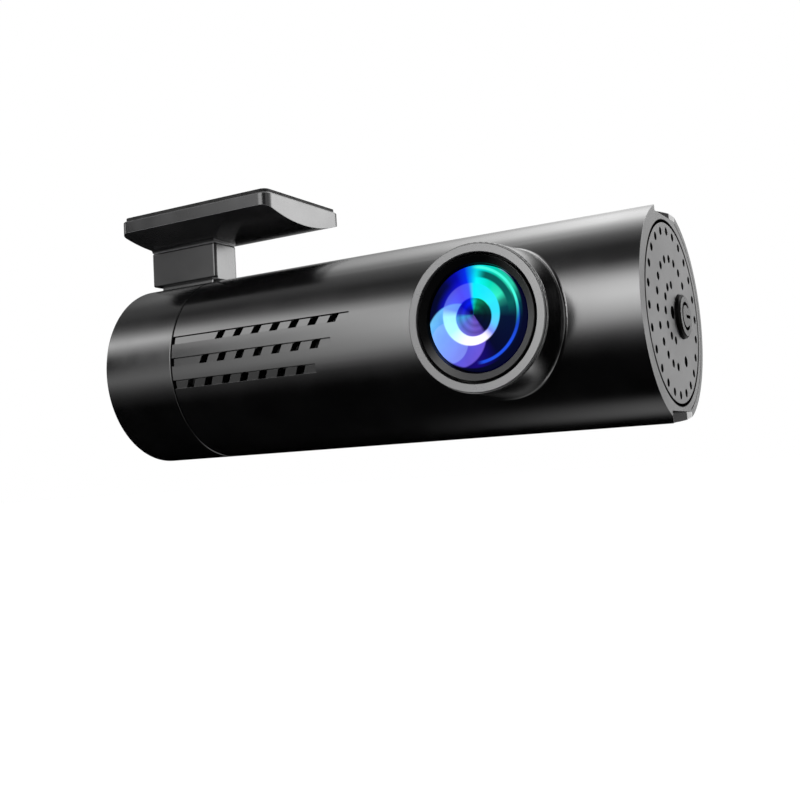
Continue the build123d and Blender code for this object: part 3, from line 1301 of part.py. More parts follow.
with BuildPart() as power_inductors:
    with BuildSketch(front_view(BOARD_FRONT)):
        with Locations(*INDUCTOR_PLACES):
            RectangleRounded(INDUCTOR_SIZE, INDUCTOR_SIZE, INDUCTOR_CORNER)
    extrude(amount=INDUCTOR_T)
power_inductors.part.label = "power_inductors"
export_step(power_inductors.part, "parts/power_inductors.step")

with BuildPart() as supercapacitors:
    with BuildSketch(across(CAP_CELL_X - CAP_CELL_LENGTH / 2)):
        with Locations((CAP_CELL_Y, CAP_CELL_Z), (CAP_CELL_Y, -CAP_CELL_Z)):
            Circle(CAP_CELL_R)
    extrude(amount=CAP_CELL_LENGTH)
    chamfer(supercapacitors.edges().filter_by(GeomType.CIRCLE), length=CAP_CELL_EDGE)
supercapacitors.part.label = "supercapacitors"
export_step(supercapacitors.part, "parts/supercapacitors.step")

with BuildPart() as wifi_module:
    with BuildSketch(front_view(BOARD_BACK + WIFI_T)):
        with Locations(WIFI_PLACE):
            RectangleRounded(*WIFI_SIZE, WIFI_CORNER)
    extrude(amount=WIFI_T)
wifi_module.part.label = "wifi_module"
export_step(wifi_module.part, "parts/wifi_module.step")

with BuildPart() as usb_socket:
    with BuildSketch(level(SOCKET_TOP)):
        with Locations((USB_X, 0)):
            RectangleRounded(*USB_SHELL, USB_SHELL_CORNER)
    extrude(amount=-USB_SHELL_LENGTH)
    with BuildSketch(level(SOCKET_TOP)):
        with Locations((USB_X, 0)):
            RectangleRounded(*USB_OPENING, USB_OPENING_CORNER)
            RectangleRounded(*USB_TONGUE, USB_TONGUE_CORNER, mode=Mode.SUBTRACT)
    extrude(amount=-USB_OPENING_DEPTH, mode=Mode.SUBTRACT)
usb_socket.part.label = "usb_socket"
export_step(usb_socket.part, "parts/usb_socket.step")

CARD_W = 11.0
CARD_H = 15.0
CARD_T = 0.7
CARD_TOP = 14.2
CARD_NOTCH = 1.3  # the card is narrower by this much below its shoulder
CARD_SHOULDER = 6.4  # top of the sloping shoulder, above the card's lower end
SOCKET_HALF = 6.7
SOCKET_T = 1.5
SOCKET_H = 13.6
CARD_SLOT_W = CARD_W + 0.3
CARD_SLOT_T = CARD_T + 0.2
CARD_SLOT_FLOOR = CARD_TOP - CARD_H - 0.1
with BuildPart() as card_socket:
    with BuildSketch(level(SOCKET_TOP)):
        with Locations((CARD_X, CARD_Y)):
            Rectangle(2 * SOCKET_HALF, SOCKET_T)
    extrude(amount=-SOCKET_H)
    with BuildSketch(level(SOCKET_TOP)):
        with Locations((CARD_X, CARD_Y)):
            Rectangle(CARD_SLOT_W, CARD_SLOT_T)
    extrude(amount=CARD_SLOT_FLOOR - SOCKET_TOP, mode=Mode.SUBTRACT)
card_socket.part.label = "card_socket"
export_step(card_socket.part, "parts/card_socket.step")

with BuildPart() as memory_card:
    with BuildSketch(front_view(CARD_Y + CARD_T / 2)):
        with BuildLine():
            Polyline(
                (CARD_X - CARD_W / 2, CARD_TOP),
                (CARD_X + CARD_W / 2, CARD_TOP),
                (CARD_X + CARD_W / 2, CARD_TOP - CARD_H + CARD_SHOULDER),
                (CARD_X + CARD_W / 2 - CARD_NOTCH, CARD_TOP - CARD_H + CARD_SHOULDER - CARD_NOTCH),
                (CARD_X + CARD_W / 2 - CARD_NOTCH, CARD_TOP - CARD_H),
                (CARD_X - CARD_W / 2, CARD_TOP - CARD_H),
                close=True,
            )
        make_face()
    extrude(amount=CARD_T)
memory_card.part.label = "memory_card"
export_step(memory_card.part, "parts/memory_card.step")

# ---------------------------------------------------------------- status lights
LED_PLACES = ((LED_WIRELESS_X, LED_Z), (LED_CAMERA_X, LED_Z))
LED_T = 0.8
LED_SIZE = (1.6, 0.8)
GUIDE_R = 1.4
GUIDE_END = INNER_R - 0.15
with BuildPart() as status_leds:
    with BuildSketch(front_view(BOARD_BACK + LED_T)):
        with Locations(*LED_PLACES):
            Rectangle(*LED_SIZE)
    extrude(amount=LED_T)
status_leds.part.label = "status_leds"
export_step(status_leds.part, "parts/status_leds.step")

with BuildPart() as status_light_guides:
    with BuildSketch(front_view(GUIDE_END)):
        with Locations(*LED_PLACES):
            Circle(GUIDE_R)
    extrude(amount=GUIDE_END - BOARD_BACK - LED_T)
status_light_guides.part.label = "status_light_guides"
export_step(status_light_guides.part, "parts/status_light_guides.step")

# ---------------------------------------------------------------- flexible strips
FLEX_T = 0.15
SENSOR_FLEX_X = 62.0  # where the strip leaves the sensor board
SENSOR_FLEX_LANDING = 57.0  # where it reaches the main board
SENSOR_FLEX_BEND = 0.4
SENSOR_FLEX_LOW = -8.2
SENSOR_FLEX_W = 3.0
END_FLEX_START = 75.0
END_FLEX_END = SWITCH_SEAT - END_BOARD_T
END_FLEX_Z = -4.0
END_FLEX_W = 4.0
with BuildPart() as sensor_flex:
    with BuildSketch(level(SENSOR_FLEX_LOW)):
        with BuildLine():
            Polyline(
                (SENSOR_FLEX_X, -SENSOR_BOARD_BACK),
                (SENSOR_FLEX_X, SENSOR_FLEX_BEND),
                (SENSOR_FLEX_LANDING, SENSOR_FLEX_BEND),
                (SENSOR_FLEX_LANDING, BOARD_FRONT),
                (SENSOR_FLEX_LANDING + FLEX_T, BOARD_FRONT),
                (SENSOR_FLEX_LANDING + FLEX_T, SENSOR_FLEX_BEND + FLEX_T),
                (SENSOR_FLEX_X + FLEX_T, SENSOR_FLEX_BEND + FLEX_T),
                (SENSOR_FLEX_X + FLEX_T, -SENSOR_BOARD_BACK),
                close=True,
            )
        make_face()
    extrude(amount=SENSOR_FLEX_W)
sensor_flex.part.label = "sensor_flex"
export_step(sensor_flex.part, "parts/sensor_flex.step")

with BuildPart() as end_flex:
    with BuildSketch(front_view(BOARD_FRONT)):
        with Locations(((END_FLEX_START + END_FLEX_END) / 2, END_FLEX_Z)):
            Rectangle(END_FLEX_END - END_FLEX_START, END_FLEX_W)
    extrude(amount=FLEX_T)
end_flex.part.label = "end_flex"
export_step(end_flex.part, "parts/end_flex.step")
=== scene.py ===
"""The looks of the cylindrical dash camera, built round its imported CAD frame.

Metres, in the frame of the CAD: the origin is the centre of the windscreen face, +Z up, the tube
lies along X and the lens looks along -Y.
"""
import bpy
import json
from math import cos, radians, sin
from mathutils import Matrix, Vector


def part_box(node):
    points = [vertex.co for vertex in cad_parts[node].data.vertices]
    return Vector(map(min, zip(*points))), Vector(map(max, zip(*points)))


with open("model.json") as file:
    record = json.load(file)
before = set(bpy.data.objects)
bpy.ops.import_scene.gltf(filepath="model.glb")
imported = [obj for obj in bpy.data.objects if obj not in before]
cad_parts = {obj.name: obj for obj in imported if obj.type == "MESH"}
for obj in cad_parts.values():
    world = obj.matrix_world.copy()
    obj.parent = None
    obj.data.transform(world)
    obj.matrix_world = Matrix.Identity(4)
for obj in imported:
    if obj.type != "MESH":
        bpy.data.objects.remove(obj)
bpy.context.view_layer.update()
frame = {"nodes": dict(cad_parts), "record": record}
nodes = frame["nodes"]
MM = 0.001

# ---------------------------------------------------------------- places taken from the frame
housing_low, housing_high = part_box("main_housing")
AXIS_Z = (housing_high.z + housing_low.z) / 2
FLAT_END = housing_high.x
bezel_low, bezel_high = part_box("lens_bezel")
LENS_X = (bezel_low.x + bezel_high.x) / 2
button_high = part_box("power_button")[1]
cap_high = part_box("end_cap")[1]

# ---------------------------------------------------------------- camera
CAMERA_AZIMUTH = radians(29.42)
CAMERA_ELEVATION = radians(-6.46)
CAMERA_ROLL = radians(-3.59)
CAMERA_DISTANCE = 168.4 * MM
CAMERA_LENS = 48.45
CAMERA_SHIFT = (0.0074, -0.0684)
CAMERA_TARGET = Vector((FLAT_END - 44.0 * MM, 0, AXIS_Z + 0.39 * MM))


def make_camera():
    data = bpy.data.cameras.new("camera")
    data.lens = CAMERA_LENS
    data.shift_x, data.shift_y = CAMERA_SHIFT
    data.clip_start = 0.005
    data.clip_end = 20
    camera = bpy.data.objects.new("camera", data)
    bpy.context.scene.collection.objects.link(camera)
    back = Vector(
        (
            sin(CAMERA_AZIMUTH) * cos(CAMERA_ELEVATION),
            -cos(CAMERA_AZIMUTH) * cos(CAMERA_ELEVATION),
            sin(CAMERA_ELEVATION),
        )
    )
    level_right = Vector((0, 0, 1)).cross(back).normalized()
    level_up = back.cross(level_right)
    right = cos(CAMERA_ROLL) * level_right + sin(CAMERA_ROLL) * level_up
    up = -sin(CAMERA_ROLL) * level_right + cos(CAMERA_ROLL) * level_up
    place = CAMERA_TARGET + CAMERA_DISTANCE * back
    camera.matrix_world = Matrix(
        (
            (right.x, up.x, back.x, place.x),
            (right.y, up.y, back.y, place.y),
            (right.z, up.z, back.z, place.z),
            (0, 0, 0, 1),
        )
    )
    bpy.context.scene.camera = camera


make_camera()
bpy.context.scene.view_settings.view_transform = "Standard"


# ---------------------------------------------------------------- node graphs
# Numbers of a Mix node's colour sockets, whose names its sockets for other values share.
MIX_A = 6
MIX_B = 7
MIX_RESULT = 2


class Graph:
    """Short names for building a node tree."""

    def __init__(self, tree, keep=False):
        self.tree = tree
        if not keep:
            self.tree.nodes.clear()

    def put(self, socket, value):
        if isinstance(value, bpy.types.NodeSocket):
            self.tree.links.new(value, socket)
        elif isinstance(value, tuple) and socket.type == "RGBA" and len(value) == 3:
            socket.default_value = (*value, 1)
        else:
            socket.default_value = value

    def node(self, kind, inputs=None, **settings):
        made = self.tree.nodes.new("ShaderNode" + kind)
        for name, value in settings.items():
            setattr(made, name, value)
        for name, value in (inputs or {}).items():
            self.put(made.inputs[name], value)
        return made

    def math(self, operation, a, b=0.0):
        made = self.node("Math", operation=operation)
        self.put(made.inputs[0], a)
        self.put(made.inputs[1], b)
        return made.outputs[0]

    def times(self, *factors):
        """The product of all the factors."""
        product = factors[0]
        for factor in factors[1:]:
            product = self.math("MULTIPLY", product, factor)
        return product

    def flip(self, share):
        """1 where share is 0, and 0 where it is 1."""
        return self.math("SUBTRACT", 1.0, share)

    def length(self, a, b):
        """How far (a, b) is from (0, 0)."""
        squares = self.math("ADD", self.times(a, a), self.times(b, b))
        return self.math("SQRT", squares)

    def line(self, value, low, high, out_low=0.0, out_high=1.0, kind="LINEAR"):
        """Goes evenly from out_low to out_high while value goes from low to high."""
        made = self.node("MapRange", interpolation_type=kind)
        for socket, item in zip(made.inputs, (value, low, high, out_low, out_high)):
            self.put(socket, item)
        return made.outputs[0]

    def ramp(self, value, low, high, out_low=0.0, out_high=1.0):
        """The same with a smooth start and end."""
        return self.line(value, low, high, out_low, out_high, "SMOOTHSTEP")

    def stops(self, value, stops):
        """Colour or strength by value, from stops given in the units of value."""
        low = stops[0][0]
        high = stops[-1][0]
        made = self.node("ValToRGB", {"Fac": self.line(value, low, high)})
        elements = made.color_ramp.elements
        while len(elements) < len(stops):
            elements.new(0.5)
        for element, (place, colour) in zip(elements, stops):
            element.position = (place - low) / (high - low)
            grey = not isinstance(colour, tuple)
            element.color = (colour, colour, colour, 1) if grey else (*colour, 1)
        return made.outputs[0]

    def mix(self, share, a, b):
        made = self.node("Mix", data_type="RGBA")
        self.put(made.inputs["Factor"], share)
        self.put(made.inputs[MIX_A], a)
        self.put(made.inputs[MIX_B], b)
        return made.outputs[MIX_RESULT]

    def noise(self, place, scale, detail=2.0, roughness=0.5):
        made = self.node(
            "TexNoise", {"Vector": place, "Scale": scale, "Detail": detail, "Roughness": roughness}
        )
        return made.outputs["Fac"]


def object_place(graph, stretch=(1.0, 1.0, 1.0)):
    """Place on the piece in millimetres, in the frame of the CAD."""
    place = graph.node("TexCoord").outputs["Object"]
    scale = tuple(s / MM for s in stretch)
    return graph.node("Mapping", {"Vector": place, "Scale": scale}).outputs["Vector"]


def new_surface(name):
    material = bpy.data.materials.new(name)
    material.use_nodes = True
    graph = Graph(material.node_tree)
    shader = graph.node("BsdfPrincipled")
    output = graph.node("OutputMaterial", {"Surface": shader.outputs[0]})
    return material, graph, shader, output


# ---------------------------------------------------------------- light
# The studio is a cylinder of light round the tube's own direction. Stops are (degrees round the
# tube from the front over the top, strength). One set is for light from far to the left, the
# other for light from straight ahead. A ramp stores them as shares of LIGHT_TOP.
LIGHT_TOP = 15.0
LEFT_STOPS = (
    (-180, 0.0), (-44, 0.0), (-30, 0.2), (-20, 0.6), (-6, 1.8), (2, 1.2), (12, 0.1), (24, 0.1),
    (35, 3.3), (44, 8.0), (54, 3.2), (62, 0.9), (74, 0.2), (96, 0.5), (112, 0.7), (134, 0.3),
    (180, 0.2),
)
AHEAD_STOPS = (
    (-180, 0.0), (-40, 0.0), (-28, 0.3), (-20, 1.1), (-12, 3.4), (-4, 7.0), (8, 11.2), (20, 14.4),
    (31, 12.8), (39, 8.5), (47, 3.0), (56, 0.4), (76, 0.3), (92, 1.2), (106, 3.7), (120, 6.2),
    (134, 4.0), (148, 1.5), (164, 1.25), (180, 1.05),
)

# A light fades in or out along each of its spans of a direction's X, Y, Z or turn.
LEFT_TO_AHEAD_X = (-0.68, -0.29)
# The light over the back is weaker towards the mount end.
OVER_BACK_TURN = (84, 100)
OVER_BACK_X = (-0.5, -0.3)
OVER_BACK_SCALE = (0.58, 0.86)
# The front box stops a little right of straight ahead.
FRONT_Y = (0.05, -0.15)
FRONT_END_X = (0.12, 0.34)
# A panel behind and to the right lights the faces at the flat end.
PANEL_LIGHT = 12.0
PANEL_X = (0.4, 0.55)
PANEL_END_X = (0.9, 0.8)
PANEL_Y = (0.3, 0.5)
PANEL_Z = (-0.25, 0.0)
# A weaker one to the right and ahead fills them in.
FILL_LIGHT = 2.2
FILL_X = (0.72, 0.82)
FILL_Y = (0.1, -0.2)
# Low light from ahead, on the underside near the flat end.
LOW_LIGHT = 0.9
LOW_TURN = (-142, -118)
LOW_END_TURN = (-92, -112)
LOW_X = (-0.46, -0.26)
# Low light from behind, on the side of the lens barrel.
BACK_LOW_LIGHT = 1.8
BACK_LOW_X = (-0.02, 0.18)
BACK_LOW_Y = (0.15, 0.45)
BACK_LOW_Z = (-0.02, -0.15)
# What matt surfaces get from all round.
EVEN_LIGHT = (1.15, 1.15, 1.15)
WHITE = (1.0, 1.0, 1.0)


def boxes_of_light(graph, x, y, turn):
    """The soft boxes round the tube."""
    left = graph.stops(turn, [(angle, light / LIGHT_TOP) for angle, light in LEFT_STOPS])
    ahead = graph.stops(turn, [(angle, light / LIGHT_TOP) for angle, light in AHEAD_STOPS])
    boxes = graph.times(graph.mix(graph.line(x, *LEFT_TO_AHEAD_X), left, ahead), LIGHT_TOP)
    over_back = graph.line(x, *OVER_BACK_X, *OVER_BACK_SCALE)
    boxes = graph.times(boxes, graph.mix(graph.ramp(turn, *OVER_BACK_TURN), WHITE, over_back))
    past_front = graph.times(graph.ramp(y, *FRONT_Y), graph.ramp(x, *FRONT_END_X))
    return graph.times(boxes, graph.flip(past_front))


def make_world():
    world = bpy.data.worlds.new("studio")
    bpy.context.scene.world = world
    world.use_nodes = True
    graph = Graph(world.node_tree)
    direction = graph.node("TexCoord").outputs["Generated"]
    x, y, z = graph.node("SeparateXYZ", {"Vector": direction}).outputs
    turn = graph.math("DEGREES", graph.math("ARCTAN2", z, graph.times(y, -1.0)))
    lights = (
        (PANEL_LIGHT, (x, PANEL_X), (x, PANEL_END_X), (y, PANEL_Y), (z, PANEL_Z)),
        (FILL_LIGHT, (x, FILL_X), (y, FILL_Y)),
        (LOW_LIGHT, (turn, LOW_TURN), (turn, LOW_END_TURN), (x, LOW_X)),
        (BACK_LOW_LIGHT, (x, BACK_LOW_X), (y, BACK_LOW_Y), (z, BACK_LOW_Z)),
    )
    glossy = boxes_of_light(graph, x, y, turn)
    for strength, *fades in lights:
        shape = graph.times(*(graph.ramp(value, *span) for value, span in fades), strength)
        glossy = graph.math("ADD", glossy, shape)
    paths = graph.node("LightPath")
    # Reflections see the boxes; the camera sees white paper; everything else gets even light.
    seen = graph.mix(paths.outputs["Is Glossy Ray"], EVEN_LIGHT, glossy)
    seen = graph.mix(paths.outputs["Is Camera Ray"], seen, WHITE)
    background = graph.node("Background", {"Color": seen, "Strength": 1.0})
    graph.node("OutputWorld", {"Surface": background.outputs[0]})


FLOOR_Z = -0.13
FLOOR_HALF = 6.0
FIBRES_PER_M = 900.0


def make_floor():
    mesh = bpy.data.meshes.new("floor")
    corners = ((-1, -1), (1, -1), (1, 1), (-1, 1))
    places = [(FLOOR_HALF * x, FLOOR_HALF * y, FLOOR_Z) for x, y in corners]
    mesh.from_pydata(places, [], [(0, 1, 2, 3)])
    floor = bpy.data.objects.new("floor", mesh)
    bpy.context.scene.collection.objects.link(floor)
    material, graph, shader, _ = new_surface("floor_paper")
    place = graph.node("TexCoord").outputs["Object"]
    fibre = graph.noise(place, FIBRES_PER_M, detail=4.0)
    graph.put(shader.inputs["Base Color"], graph.mix(fibre, (0.94, 0.94, 0.94), (0.97, 0.97, 0.97)))
    shader.inputs["Roughness"].default_value = 0.9
    shader.inputs["Specular IOR Level"].default_value = 0.0
    mesh.materials.append(material)
    floor.visible_glossy = False


make_world()
make_floor()


# ---------------------------------------------------------------- surfaces
# Patterns are scaled per millimetre, and lengths such as depth, soften and the reach of the painted
# shade in crevices are in mm.
def moulded(
    name, colour, roughness, grain=6.0, depth=0.004, spread=0.05, wear_and_highlight=1.5, tone=0.25, specular=0.5,
    soften=0.06, painted_shade_reach=0.6,
):
    """Moulded plastic: fine grain, uneven gloss, edges lightened as wear and painted highlight, painted
    shade in crevices.
    """
    material, graph, shader, _ = new_surface(name)
    place = object_place(graph)
    fine = graph.noise(place, grain, detail=3.0, roughness=0.6)
    broad = graph.noise(place, 0.12, detail=3.0)
    rounded = graph.node("Bevel", {"Radius": soften * MM}, samples=4).outputs[0]
    flat = graph.node("NewGeometry").outputs["Normal"]
    facing = graph.node("VectorMath", operation="DOT_PRODUCT")
    graph.put(facing.inputs[0], rounded)
    graph.put(facing.inputs[1], flat)
    edge = graph.ramp(facing.outputs["Value"], 0.99, 0.8)
    dark = tuple(c * (1 - tone) for c in colour)
    light = tuple(c * (1 + tone) for c in colour)
    # Edges are lightened: rubbed wear, and a painted highlight where the factor is large, as on the
    # bracket.
    worn_and_highlit = tuple(min(1, c * wear_and_highlight + 0.004) for c in colour)
    body = graph.mix(graph.ramp(broad, 0.3, 0.7), dark, light)
    graph.put(shader.inputs["Base Color"], graph.mix(edge, body, worn_and_highlit))
    uneven = graph.ramp(broad, 0.35, 0.65, roughness - spread / 2, roughness + spread / 2)
    grainy = graph.math("ADD", uneven, graph.times(fine, spread / 2))
    graph.put(shader.inputs["Roughness"], grainy)
    # Painted shade: crevices lose their shine where ambient occlusion finds them.
    unshaded_share = graph.node("AmbientOcclusion", {"Distance": painted_shade_reach * MM}, samples=6).outputs["AO"]
    graph.put(shader.inputs["Specular IOR Level"], graph.ramp(unshaded_share, 0.1, 0.5, 0.0, specular))
    bump = graph.node("Bump", {"Height": fine, "Strength": 1.0, "Distance": depth * MM})
    graph.put(bump.inputs["Normal"], rounded)
    graph.put(shader.inputs["Normal"], bump.outputs[0])
    return material


def metal(name, colour, roughness, stretch=(1.0, 1.0, 8.0), depth=0.002):
    """Rolled or plated metal with fine drawn lines and blotchy gloss."""
    material, graph, shader, _ = new_surface(name)
    lines = graph.noise(object_place(graph, stretch), 5.0, detail=4.0, roughness=0.7)
    blot = graph.noise(object_place(graph), 0.5, detail=3.0)
    dark = tuple(c * 0.8 for c in colour)
    graph.put(shader.inputs["Base Color"], graph.mix(graph.ramp(blot, 0.3, 0.7), dark, colour))
    graph.put(shader.inputs["Roughness"], graph.ramp(lines, 0.2, 0.8, roughness - 0.07, roughness + 0.1))
    shader.inputs["Metallic"].default_value = 1.0
    bump = graph.node("Bump", {"Height": lines, "Strength": 1.0, "Distance": depth * MM})
    graph.put(shader.inputs["Normal"], bump.outputs[0])
    return material


def cellular(name, colour, cell=4.0, depth=0.05, roughness=0.85):
    """Foam or rubber: small closed cells."""
    material, graph, shader, _ = new_surface(name)
    place = object_place(graph)
    cells = graph.node("TexVoronoi", {"Vector": place, "Scale": cell}).outputs["Distance"]
    blot = graph.noise(place, 0.6, detail=3.0)
    dark = tuple(c * 0.6 for c in colour)
    graph.put(shader.inputs["Base Color"], graph.mix(graph.times(cells, blot), dark, colour))
    graph.put(shader.inputs["Roughness"], graph.ramp(blot, 0.3, 0.7, roughness - 0.1, roughness))
    shader.inputs["Specular IOR Level"].default_value = 0.2
    bump = graph.node("Bump", {"Height": cells, "Strength": 1.0, "Distance": depth * MM})
    graph.put(shader.inputs["Normal"], bump.outputs[0])
    return material


def woven(name, colour, pitch=0.12):
    """Fine mesh: two crossed sets of threads."""
    material, graph, shader, _ = new_surface(name)
    _, y, z = graph.node("SeparateXYZ", {"Vector": object_place(graph)}).outputs
    across = graph.math("PINGPONG", y, pitch)
    along = graph.math("PINGPONG", z, pitch)
    thread = graph.times(graph.math("MAXIMUM", across, along), 1 / pitch)
    black = tuple(c * 0.1 for c in colour)
    graph.put(shader.inputs["Base Color"], graph.mix(graph.ramp(thread, 0.5, 0.9), black, colour))
    graph.put(shader.inputs["Roughness"], graph.ramp(thread, 0.0, 1.0, 0.95, 0.7))
    shader.inputs["Specular IOR Level"].default_value = 0.1
    bump = graph.node("Bump", {"Height": thread, "Strength": 1.0, "Distance": 0.03 * MM})
    graph.put(shader.inputs["Normal"], bump.outputs[0])
    return material


def board(name):
    """Green solder mask over copper tracks, with plated pads."""
    material, graph, shader, _ = new_surface(name)
    place = object_place(graph)
    tracks = graph.node("TexVoronoi", {"Vector": place, "Scale": 0.7}, distance="MANHATTAN")
    lines = graph.ramp(graph.math("PINGPONG", tracks.outputs["Distance"], 0.12), 0.05, 0.07)
    dots = graph.node("TexVoronoi", {"Vector": place, "Scale": 0.5}).outputs["Distance"]
    pad = graph.ramp(dots, 0.16, 0.13)
    green = graph.mix(lines, (0.006, 0.07, 0.03), (0.012, 0.13, 0.06))
    graph.put(shader.inputs["Base Color"], graph.mix(pad, green, (0.75, 0.55, 0.25)))
    graph.put(shader.inputs["Metallic"], pad)
    graph.put(shader.inputs["Roughness"], graph.ramp(graph.noise(place, 1.5), 0.3, 0.7, 0.25, 0.4))
    bump = graph.node("Bump", {"Height": lines, "Strength": 1.0, "Distance": 0.02 * MM})
    graph.put(shader.inputs["Normal"], bump.outputs[0])
    return material


def film(name, colour, roughness=0.25, glow=0.0):
    """Thin glossy film with soft ripples."""
    material, graph, shader, _ = new_surface(name)
    place = object_place(graph)
    ripple = graph.noise(place, 0.35, detail=3.0)
    dark = tuple(c * 0.8 for c in colour)
    tint = graph.mix(ripple, dark, colour)
    graph.put(shader.inputs["Base Color"], tint)
    uneven = graph.ramp(ripple, 0.3, 0.7, roughness - 0.06, roughness + 0.06)
    graph.put(shader.inputs["Roughness"], uneven)
    if glow:
        graph.put(shader.inputs["Emission Color"], tint)
        shader.inputs["Emission Strength"].default_value = glow
    bump = graph.node("Bump", {"Height": ripple, "Strength": 1.0, "Distance": 0.02 * MM})
    graph.put(shader.inputs["Normal"], bump.outputs[0])
    return material


def clear(name, tint, roughness=0.03, see_through=0.75):
    """Thin clear piece with a tinted coating and faint smears."""
    material, graph, shader, output = new_surface(name)
    place = object_place(graph)
    smear = graph.noise(place, 0.3, detail=4.0, roughness=0.6)
    shader.inputs["Base Color"].default_value = (*(0.3 * c for c in tint), 1)
    graph.put(shader.inputs["Roughness"], graph.ramp(smear, 0.3, 0.8, roughness, roughness * 2 + 0.02))
    pass_through = graph.node("BsdfTransparent", {"Color": graph.mix(smear, tint, WHITE)})
    rim = graph.node("LayerWeight", {"Blend": 0.25}).outputs["Fresnel"]
    share = graph.math("ADD", 1 - see_through, graph.times(rim, see_through))
    made = graph.node("MixShader", {"Fac": share})
    graph.put(made.inputs[1], pass_through.outputs[0])
    graph.put(made.inputs[2], shader.outputs[0])
    graph.put(output.inputs["Surface"], made.outputs[0])
    return material


# ---------------------------------------------------------------- lens
# The coloured reflections are painted reflections of the lens coatings, given out as emission and
# laid out on the plane of the bezel's face, as seen from ahead and to the right: (u, w) in mm, right
# and up from the lens axis. A place deeper in the glass is moved sideways by its depth. Clock angles
# are degrees about GLOW_MIDDLE, 0 at 12 o'clock and clockwise.
DEPTH_TO_U = 0.46
DEPTH_TO_W = -0.15
# The glow of the painted coating reflections gets weaker over this span of distances.
GLOW_MIDDLE = (-0.1, 0.4)
GLOW_FADE = (2.0, 6.6)
GLOW_LOST = 0.4
# Discs are (u, w, radius, half width of the soft edge).
BLUE_HEART = (-0.3, 0.3, 4.3, 1.3)
PALE_DISC = (-2.8, -2.15, 4.28, 0.15)
SMALL_DISC = (-3.9, -2.95, 2.75, 0.12)
ANNULUS_OUTSIDE = (-0.48, 0.5, 4.08, 0.12)
ANNULUS_INSIDE = (-0.12, 0.1, 2.55, 0.12)
PUPIL = (-0.12, 0.1, 2.47, 0.1)
PUPIL_SHADE = (-0.35, 0.75, 0.5, 0.5)
# Rings are (u, w, inner radius, outer radius, half width of the soft edges).
CRESCENT = (-0.1, 0.35, 4.95, 5.85, 0.15)
GREEN_RIM = (-0.1, 0.4, 6.05, 6.38, 0.1)
BLUE_RIM = (-0.1, 0.35, 6.1, 6.5, 0.1)
# A painted highlight: the thin pale arc near the top of the glass's edge.
HAIRLINE = (-0.05, 0.2, 7.0, 7.1, 0.04)
# Sectors are two spans of clock angle: where a shape fades in, and where it fades out.
CRESCENT_SECTOR = ((4, 24), (98, 74))
GREEN_SECTOR = ((0, 14), (112, 70))
BLUE_SECTOR = ((70, 130), (181, 170))
HEART_SECTOR = ((-110, -80), (-2, -14))
THIN_SECTOR = ((-84, -62), (0, -6))
HAIRLINE_SECTOR = ((-75, -50), (60, 40))
# How much each shape covers what is under it. The annulus is thinner in the upper left.
PALE_COVER = 0.92
SMALL_COVER = 0.3
ANNULUS_COVER = 0.93
THIN_LOSS = 0.5
HAIRLINE_COVER = 0.6
# Fine rings in the pupil.
RINGS_MIDDLE = (0.2, 0.3)
RINGS_PER_MM = 2.2
RINGS_COVER = 0.35
# The glass is black outside these distances.
GLASS_MIDDLE = (-0.2, 0.38)
GLASS_EDGE = (6.8, 7.1)
# Colours of the painted reflections by clock angle.
COATING_REFLECTION_STOPS = (
    (-180, (0.01, 0.0, 0.2)), (-150, (0.0, 0.0, 0.08)), (-100, (0.0, 0.0, 0.02)),
    (-58, (0.0, 0.0, 0.004)), (-40, (0.0, 0.0, 0.05)), (-22, (0.0, 0.0, 0.42)),
    (-8, (0.0, 0.03, 0.95)), (0, (0.0, 0.35, 1.0)), (9, (0.0, 0.9, 0.95)),
    (36, (0.0, 0.75, 0.5)), (60, (0.03, 0.8, 0.5)), (72, (0.01, 0.22, 0.16)),
    (84, (0.0, 0.05, 0.06)), (100, (0.0, 0.004, 0.02)), (150, (0.0, 0.0, 0.012)),
    (180, (0.01, 0.0, 0.2)),
)
ANNULUS_STOPS = (
    (-180, (1.0, 0.9, 0.95)), (-150, (0.75, 0.85, 0.95)), (-120, (0.35, 0.8, 0.95)),
    (-88, (0.35, 0.8, 0.95)), (-72, (0.16, 0.25, 0.85)), (-30, (0.14, 0.12, 0.7)),
    (-6, (0.1, 0.16, 0.8)), (4, (0.0, 0.65, 0.8)), (90, (0.03, 0.62, 0.8)),
    (118, (0.1, 0.5, 0.95)), (136, (0.18, 0.24, 0.9)), (152, (0.8, 0.75, 0.95)),
    (180, (1.0, 0.9, 0.95)),
)
PUPIL_STOPS = (
    (-180, (0.13, 0.08, 0.45)), (-130, (0.1, 0.14, 0.6)), (-95, (0.05, 0.3, 0.65)),
    (-80, (0.02, 0.03, 0.5)), (-50, (0.0, 0.0, 0.5)), (-10, (0.0, 0.01, 0.75)),
    (-1, (0.0, 0.3, 0.7)), (6, (0.0, 0.5, 0.4)), (22, (0.0, 0.2, 0.08)),
    (60, (0.0, 0.05, 0.03)), (100, (0.0, 0.005, 0.01)), (146, (0.0, 0.0, 0.02)),
    (156, (0.1, 0.06, 0.4)), (180, (0.13, 0.08, 0.45)),
)
# Colours of the pale disc by u - PALE_SLOPE * w.
PALE_SLOPE = 0.8
PALE_STOPS = (
    (-7, (0.14, 0.5, 0.8)), (-3, (0.08, 0.24, 0.76)), (1, (0.08, 0.08, 0.6)),
    (6, (0.14, 0.07, 0.5)),
)
BLACK = (0.0, 0.0, 0.0)
GLASS_BLACK = (0.0, 0.0, 0.01)
# Strength of the emission that paints the reflections on the glass.
LENS_GLOW = 1.4
LENS_SHINE = 0.012
LENS_IOR = 1.1


